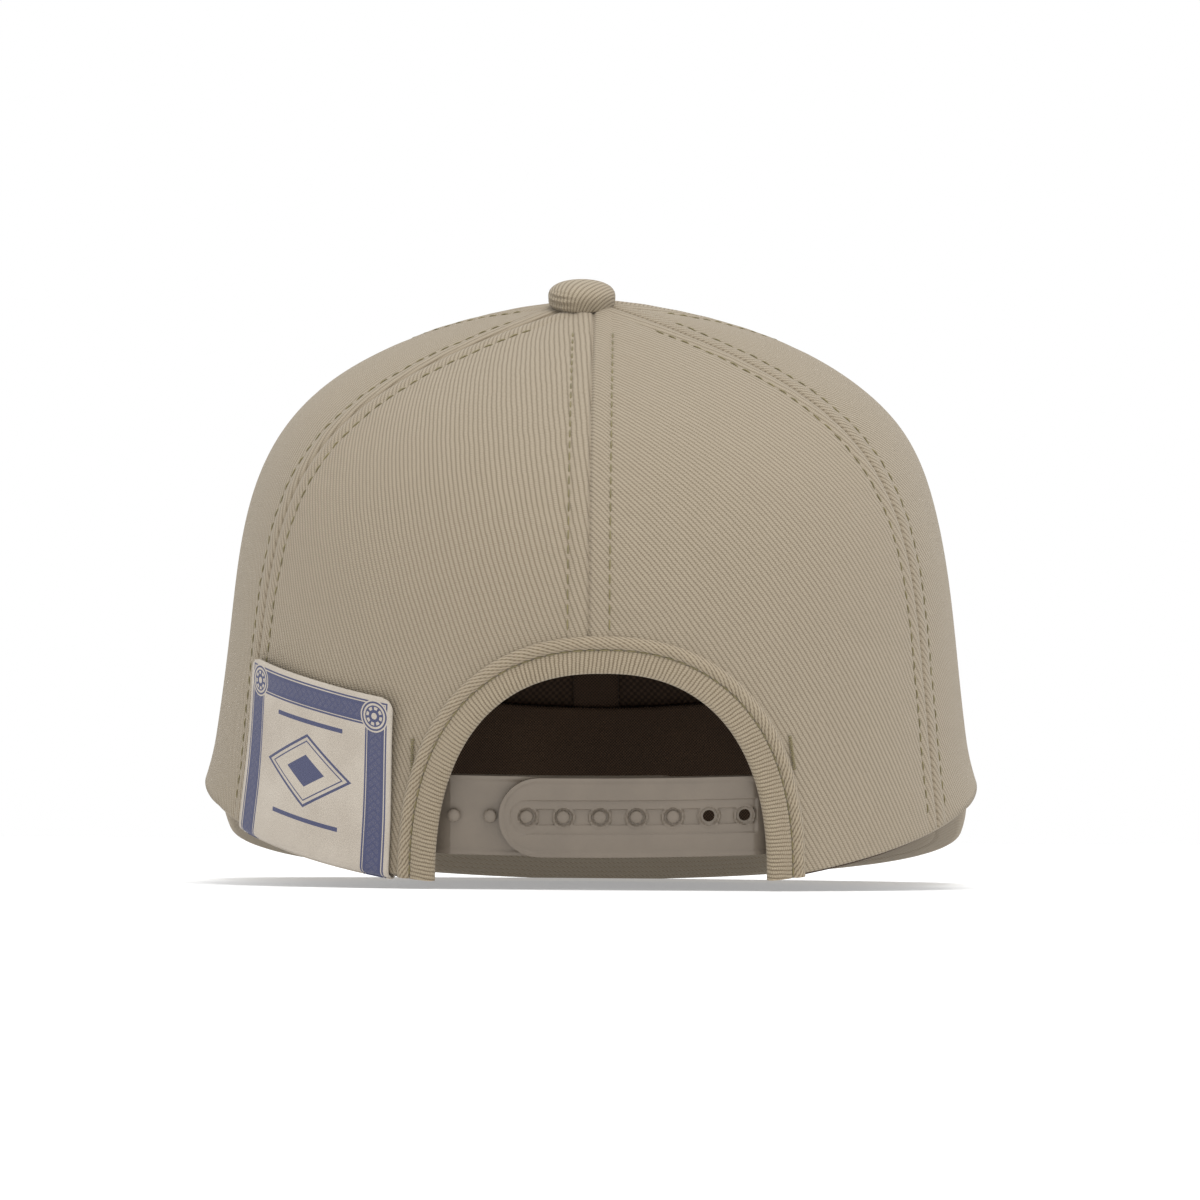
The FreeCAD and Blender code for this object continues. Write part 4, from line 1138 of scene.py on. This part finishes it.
def label_print():
    """Off-white woven cloth with a printed blue frame of lines, a braid and two round corners."""
    shader = Shader("label_print")
    u, v = shader.cloth()
    across = (u - LABEL_WIDTH / 2).abs()
    from_side = LABEL_WIDTH / 2 - across
    from_top = LABEL_HEIGHT - v
    edge = from_side.least(from_top)
    on_side = from_side < from_top
    onward = v * on_side + u * (1 - on_side)

    def line(value, centre, half):
        return 1 - (value - centre).abs().ramp(half, half + 0.12)

    ink = line(edge, 1.35, 0.14)
    for place in (1.95, 6.2):
        ink = ink.most(line(edge, place, 0.07))
    ink = ink.most(line(edge, 6.75, 0.16))
    in_band = line(edge, BRAID_CENTRE, BRAID_HALF_WIDTH)
    off_centre = ((edge - BRAID_CENTRE) / BRAID_HALF_WIDTH).abs() * 0.8
    weave = ((onward / BRAID_PITCH + off_centre).fraction() - 0.5).abs()
    second = ((onward / BRAID_PITCH - off_centre).fraction() - 0.5).abs()
    braid = (1 - weave.ramp(0.1, 0.2)).most(1 - second.ramp(0.05, 0.12))
    ink = ink.most(braid * in_band).most(in_band * BRAID_FILL)
    ink = ink.most(line(edge, 2.3, 0.22)).most(line(edge, 5.85, 0.22))
    corner_u = from_side - ROSETTE_INSET
    corner_v = from_top - ROSETTE_INSET
    away = (corner_u * corner_u + corner_v * corner_v) ** 0.5
    clear = away.ramp(3.6, 3.8)
    ink = ink * clear
    rosette = line(away, 3.15, 0.16).most(line(away, 1.1, 0.3)).most(line(away, 2.3, 0.1))
    bearing = shader.math("ARCTAN2", corner_v, corner_u)
    petals = (bearing * 8.0).sine().ramp(0.0, 0.6) * line(away, 1.9, 0.5)
    ink = ink.most(rosette).most(petals)
    centre_u = u - LABEL_WIDTH / 2
    centre_v = v - MARK_LEVEL
    diamond = centre_u.abs() * 0.62 + centre_v.abs()
    mark = line(diamond, 8.2, 0.3).most(line(diamond, 6.9, 0.12)).most(1 - diamond.ramp(3.6, 3.9))
    bars = line((centre_v.abs() - MARK_TO_BAR).abs(), 0.0, 0.45) * (1 - centre_u.abs().ramp(10.5, 10.8))
    ink = ink.most(mark).most(bars)
    fibre = shader.noise(shader.vector(u, v), 3.5, 3.0)
    warp = (u * (math.pi / 0.3)).sine() * (v * (math.pi / 0.3)).sine()
    tone = shader.noise(shader.place(), 60.0, 3.0)
    paper = shader.blend((fibre + tone + 0.5).ramp(0.1, 0.9),
                         linear(164, 154, 141), linear(184, 175, 162))
    wear = (ink * (0.9 + fibre * 0.4)).ramp(0.3, 0.7) * 0.92
    colour = shader.blend(wear, paper, linear(38, 48, 90))
    return shader.finish(colour, 0.82, warp * 0.5 + fibre * 0.5, 0.05, Sheen_Weight=0.1)


# ---------------------------------------------------------------- brim

BRIM_LENGTH = 149.1
BRIM_HALF_WIDTH = 96.0
BRIM_WIDEST = 80.0
BRIM_CORNER = 55.0
BRIM_HEEL = 6.0
BRIM_HEEL_HALF_WIDTH = 91.5
BRIM_THICKNESS = 3.2
BRIM_ROWS = 8
BRIM_ROW_PITCH = 6.5
THROAT_DEPTH = 2.0


def brim_edge(count):
    """The brim's edge from the -X heel round the front to the +X heel, in its own plane."""
    half, front, corner = BRIM_HALF_WIDTH, BRIM_LENGTH, BRIM_CORNER
    rise, offset = front - BRIM_WIDEST, half - corner
    radius = (offset ** 2 + rise ** 2 - corner ** 2) / (2 * (rise - corner))
    join_turn = math.atan2(offset, BRIM_WIDEST - (front - radius))
    drawn_in = half - BRIM_HEEL_HALF_WIDTH
    side_radius = ((BRIM_WIDEST - BRIM_HEEL) ** 2 + drawn_in ** 2) / (2 * drawn_in)
    y = np.linspace(BRIM_HEEL, BRIM_WIDEST, 80)
    side = np.stack([half - side_radius + np.sqrt(side_radius ** 2 - (BRIM_WIDEST - y) ** 2), y], -1)
    turns = np.linspace(math.pi / 2, join_turn, 60)[1:]
    turned = np.stack([offset + corner * np.sin(turns), BRIM_WIDEST + corner * np.cos(turns)], -1)
    turns = np.linspace(join_turn, 0, 60)[1:]
    ahead = np.stack([radius * np.sin(turns), front - radius + radius * np.cos(turns)], -1)
    right = np.concatenate([side, turned, ahead])
    left = right[::-1][1:] * np.array([-1, 1])
    whole = np.concatenate([right, left])[::-1]
    distance = along(whole)
    return at_distances(np.linspace(0, distance[-1], count), distance, whole)


def brim_throat(points):
    """Where the line from each edge point to the crown's centre meets the brim's inner edge."""
    cosine = math.cos(BRIM_SLOPE)
    front = layer(np.array(180.0), lower_edge(np.array(180.0)), np.array(-THROAT_DEPTH))
    centre = np.array([0.0, -BRIM_ROOT / cosine])
    semi_length = (front[1] - BRIM_ROOT) / cosine - centre[1]
    semi_width = HALF_WIDTH + 1.5 - THROAT_DEPTH
    away = points - centre
    scale = 1 / np.hypot(away[:, 0] / semi_width, away[:, 1] / semi_length)
    return centre + away * np.minimum(scale, 0.995)[:, None]


def brim_to_crown(points, level):
    """Points in the brim's plane, at a level above its top face, in the crown frame."""
    cosine, sine = math.cos(BRIM_SLOPE), math.sin(BRIM_SLOPE)
    x, y = points[..., 0], points[..., 1]
    level = np.broadcast_to(level, y.shape)
    return np.stack([x, BRIM_ROOT + y * cosine + level * sine,
                     BRIM_ROOT_LEVEL - y * sine + level * cosine], -1)


def brim_wave(points, inset):
    """Soft unevenness of the covered board and the dips of its stitch rows."""
    x, y = points[..., 0], points[..., 1]
    wave = 0.12 * np.sin(x * 0.07 + 1.1) * np.sin(y * 0.09) + 0.06 * np.sin(x * 0.21 + y * 0.17)
    row = np.round(inset / BRIM_ROW_PITCH)
    near = (inset - row * BRIM_ROW_PITCH) / 0.7
    dip = np.where((row >= 1) & (row <= BRIM_ROWS), 0.22 * np.exp(-near ** 2), 0.0)
    return wave * np.clip(inset / 8, 0, 1) - dip


def make_brim():
    count = 420
    edge = brim_edge(count)
    inner = brim_throat(edge)
    tangent = unit(np.gradient(edge, axis=0))
    inward = np.stack([tangent[:, 1], -tangent[:, 0]], -1)
    middle = np.array([0.0, BRIM_WIDEST / 2])
    inward *= np.sign(np.sum(inward * (middle - edge), -1))[:, None]
    span = np.linalg.norm(inner - edge, axis=1)
    rounding = BRIM_THICKNESS / 2
    turns = np.radians(np.linspace(0, 90, 8))
    edge_insets = rounding * (1 - np.cos(turns))
    edge_falls = -rounding * (1 - np.sin(turns))
    shares = np.linspace(0, 1, 110)[1:]
    rows, falls, insets = [], [], []
    for inset, fall in zip(edge_insets, edge_falls):
        rows.append(edge + inward * inset)
        falls.append(np.full(count, fall))
        insets.append(np.full(count, inset))
    start = edge + inward * rounding
    for share in shares:
        rows.append(start + (inner - start) * share)
        falls.append(np.zeros(count))
        insets.append(rounding + (span - rounding) * share)
    grid = np.stack(rows)
    falls = np.stack(falls)
    # a line that slants in from the edge is further along than it is deep
    slant = np.abs(np.sum(unit(inner - edge) * inward, -1))
    insets = np.stack(insets) * slant[None]
    wave = brim_wave(grid, insets)
    top = brim_to_crown(grid, falls + wave)
    under = brim_to_crown(grid, -BRIM_THICKNESS - falls - wave)
    for name, points, material, slot in (
            ("brim_top_cover", top, brim_top_twill, "brim_top_cloth"),
            ("brim_under_cover", under[:, ::-1], brim_under_twill, "brim_under_cloth")):
        flat = grid if name == "brim_top_cover" else grid[:, ::-1]
        obj = add_grid(name + "_cloth", points, flat, material, 0.5)
        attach(obj, "crown")
        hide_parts(name)
    runs = []
    for row in range(1, BRIM_ROWS + 1):
        inset = row * BRIM_ROW_PITCH
        share = np.clip(inset / (span * slant), 0, 1)
        line = edge + (inner - edge) * share[:, None]
        inside = np.flatnonzero(share < 0.97)
        line = resample(line[inside[0]:inside[-1] + 1], 0.8)
        for level, facing in ((-0.1, 1), (-BRIM_THICKNESS + 0.1, -1)):
            points = brim_to_crown(line, level)
            normal = brim_to_crown(np.zeros(2), 1.0) - brim_to_crown(np.zeros(2), 0.0)
            runs.append((points, np.broadcast_to(normal * facing, points.shape), 3.0))
    stitches = add_stitches("brim_stitching", runs, olive_thread, 0.2)
    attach(stitches, "crown")


# ---------------------------------------------------------------- button

BUTTON_SHIFT = -2.85    # the button is sewn a little beside the middle line
BUTTON_RADIUS = 7.9
BUTTON_LOW = -0.9
BUTTON_SHOULDER = 1.2
BUTTON_TOP = 4.7
TOP_SHARE = 0.72        # shares of the profile where the top ends and the tuck starts
TUCK_SHARE = 0.92
FLATNESS = 0.85
FOLD_TURN = math.radians(222)
CREST_FALL = 0.6        # the crown falls away more behind the button than in front of it


def make_button():
    """Cloth button: a flattened dome gathered in pleats towards its underside."""
    tilt = math.radians((TOP_SLOPE_BACK - TOP_SLOPE_FRONT) / 2)
    rows, sides = 56, 180
    turns = np.linspace(0, 2 * math.pi, sides, endpoint=False)
    share = np.linspace(0, 1, rows)
    # over the top on a flattened dome, down the side, and tucked in underneath
    over = np.clip(share / TOP_SHARE, 0, 1) * math.pi / 2
    down = np.clip((share - TOP_SHARE) / 0.2, 0, 1)
    tuck = np.clip((share - TUCK_SHARE) / 0.08, 0, 1)
    radius = BUTTON_RADIUS * np.sin(over) ** FLATNESS - 0.25 * down ** 2 - 1.2 * tuck
    height = BUTTON_SHOULDER + (BUTTON_TOP - BUTTON_SHOULDER) * np.cos(over) ** FLATNESS
    height = height - (BUTTON_SHOULDER - BUTTON_LOW) * down - 0.25 * np.sin(tuck * math.pi / 2)
    pleat_depth = 0.35 * np.clip((share - 0.5) / 0.5, 0, 1) ** 1.5
    pleats = 0.5 * np.sin(turns * 17) + 0.3 * np.sin(turns * 23 + 1.1) + 0.2 * np.sin(turns * 11 + 0.4)
    ring = radius[:, None] + pleat_depth[:, None] * pleats[None] * 0.6
    # folds of gathered cloth on one side of the button
    fold_side = np.exp(-((turns - FOLD_TURN) / 0.5) ** 2)
    folds = np.sin(share * 46)[:, None] * np.clip((share - 0.45) * 4, 0, 1)[:, None]
    ring = ring + 0.28 * folds * fold_side[None]
    sag = CREST_FALL * np.clip(share[:, None], 0, 1) ** 3 * (0.5 - 0.5 * np.sin(turns))[None]
    level = height[:, None] - sag
    x = BUTTON_SHIFT + ring * np.cos(turns)
    y = ring * np.sin(turns)
    cosine, sine = math.cos(tilt), math.sin(tilt)
    points = np.stack([x, APEX_SHIFT + y * cosine - level * sine,
                       CROWN_HEIGHT + y * sine + level * cosine], -1)
    spread_out = (share * 12.5)[:, None]
    uv = np.stack([spread_out * np.cos(turns), spread_out * np.sin(turns)], -1)
    points = np.concatenate([points, points[:, :1]], 1)
    uv = np.concatenate([uv, uv[:, :1]], 1)
    obj = add_grid("button_cover_cloth", points[::-1], uv[::-1], button_twill)
    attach(obj, "crown")
    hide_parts("button_cover")


def finish_frame_parts():
    """Materials of the CAD nodes that stay."""
    finishes = {"button_shell": pressed_metal, "button_rivet": pressed_metal,
                "button_washer": pressed_metal, "brim_board": board_plastic}
    for name, material in finishes.items():
        node = frame["nodes"][name]
        node.data.materials.clear()
        node.data.materials.append(material)


# ---------------------------------------------------------------- studio

CAMERA_DISTANCE = 1200.0
CAMERA_ELEVATION = math.radians(12.717)
CAMERA_YAW = math.radians(-0.593)
CAMERA_ROLL = math.radians(0.31)
CAMERA_LENS = 147.96
AIM_ACROSS = 1.75
AIM_UP = 48.647


def make_camera():
    """A long lens behind the cap, a little above the rim plane."""
    def turned(vector):
        x, y, z = vector
        cosine, sine = math.cos(-CAMERA_YAW), math.sin(-CAMERA_YAW)
        return np.array([x * cosine - y * sine, x * sine + y * cosine, z])

    cosine, sine = math.cos(CAMERA_ELEVATION), math.sin(CAMERA_ELEVATION)
    place = np.array([0.0, -CAMERA_DISTANCE * cosine, CAMERA_DISTANCE * sine])
    aim = np.array([AIM_ACROSS, 0.0, 0.0]) + np.array([0.0, sine, cosine]) * AIM_UP
    forward = unit(aim - place)
    right = unit(np.cross(forward, [0.0, 0.0, 1.0]))
    up = np.cross(right, forward)
    rolled_right = right * math.cos(CAMERA_ROLL) + up * math.sin(CAMERA_ROLL)
    rolled_up = up * math.cos(CAMERA_ROLL) - right * math.sin(CAMERA_ROLL)
    origin = to_world(turned(place))
    axes = [(to_world(turned(a)) - RIM_CENTRE) / MM for a in (rolled_right, rolled_up, -forward)]
    camera = bpy.data.objects.new("camera", bpy.data.cameras.new("camera"))
    camera.data.sensor_width = 36.0
    camera.data.lens = CAMERA_LENS
    camera.data.clip_start = 0.01
    matrix = Matrix.Identity(4)
    for k, axis in enumerate(axes):
        for row in range(3):
            matrix[row][k] = axis[row]
    for row in range(3):
        matrix[row][3] = origin[row]
    camera.matrix_world = matrix
    bpy.context.scene.collection.objects.link(camera)
    bpy.context.scene.camera = camera


LIGHT_PLACE = (0.25, -0.75, 1.6)
LIGHT_AIM = (0, -0.03, 0.07)
LIGHT_SIZE = 0.9
LIGHT_POWER = 17.0
FLOOR_GLOW = 0.32
FLOOR_REACH = 3.0


def make_studio():
    """White surroundings, one large lamp above and a pale floor that glows faintly."""
    scene = bpy.context.scene
    scene.view_settings.view_transform = "Standard"
    world = bpy.data.worlds.new("studio")
    world.use_nodes = True
    background = world.node_tree.nodes["Background"]
    background.inputs["Color"].default_value = (1, 1, 1, 1)
    background.inputs["Strength"].default_value = 1.0
    scene.world = world
    lamp = bpy.data.lights.new("key_light", "AREA")
    lamp.size = LIGHT_SIZE
    lamp.energy = LIGHT_POWER
    key = bpy.data.objects.new("key_light", lamp)
    key.location = LIGHT_PLACE
    key.rotation_euler = (Vector(LIGHT_AIM) - Vector(LIGHT_PLACE)).to_track_quat("-Z", "Y").to_euler()
    scene.collection.objects.link(key)
    shader = Shader("floor")
    tone = shader.noise(shader.place(), 3.0, 2.0)
    colour = shader.blend((tone + 0.5).ramp(0.0, 1.0), (0.74, 0.74, 0.74), (0.77, 0.77, 0.77))
    material = shader.finish(colour, 0.7)
    shader.surface.inputs["Emission Color"].default_value = (1, 1, 1, 1)
    shader.surface.inputs["Emission Strength"].default_value = FLOOR_GLOW
    mesh = bpy.data.meshes.new("floor")
    far = FLOOR_REACH
    mesh.from_pydata([(-far, -far, 0), (far, -far, 0), (far, far, 0), (-far, far, 0)],
                     [], [(0, 1, 2, 3)])
    mesh.materials.append(material)
    floor = bpy.data.objects.new("floor", mesh)
    scene.collection.objects.link(floor)


make_panels()
make_seam_stitches()
make_binding()
make_bar_tacks()
make_inside()
make_closure()
make_label()
make_brim()
make_button()
finish_frame_parts()
make_camera()
make_studio()
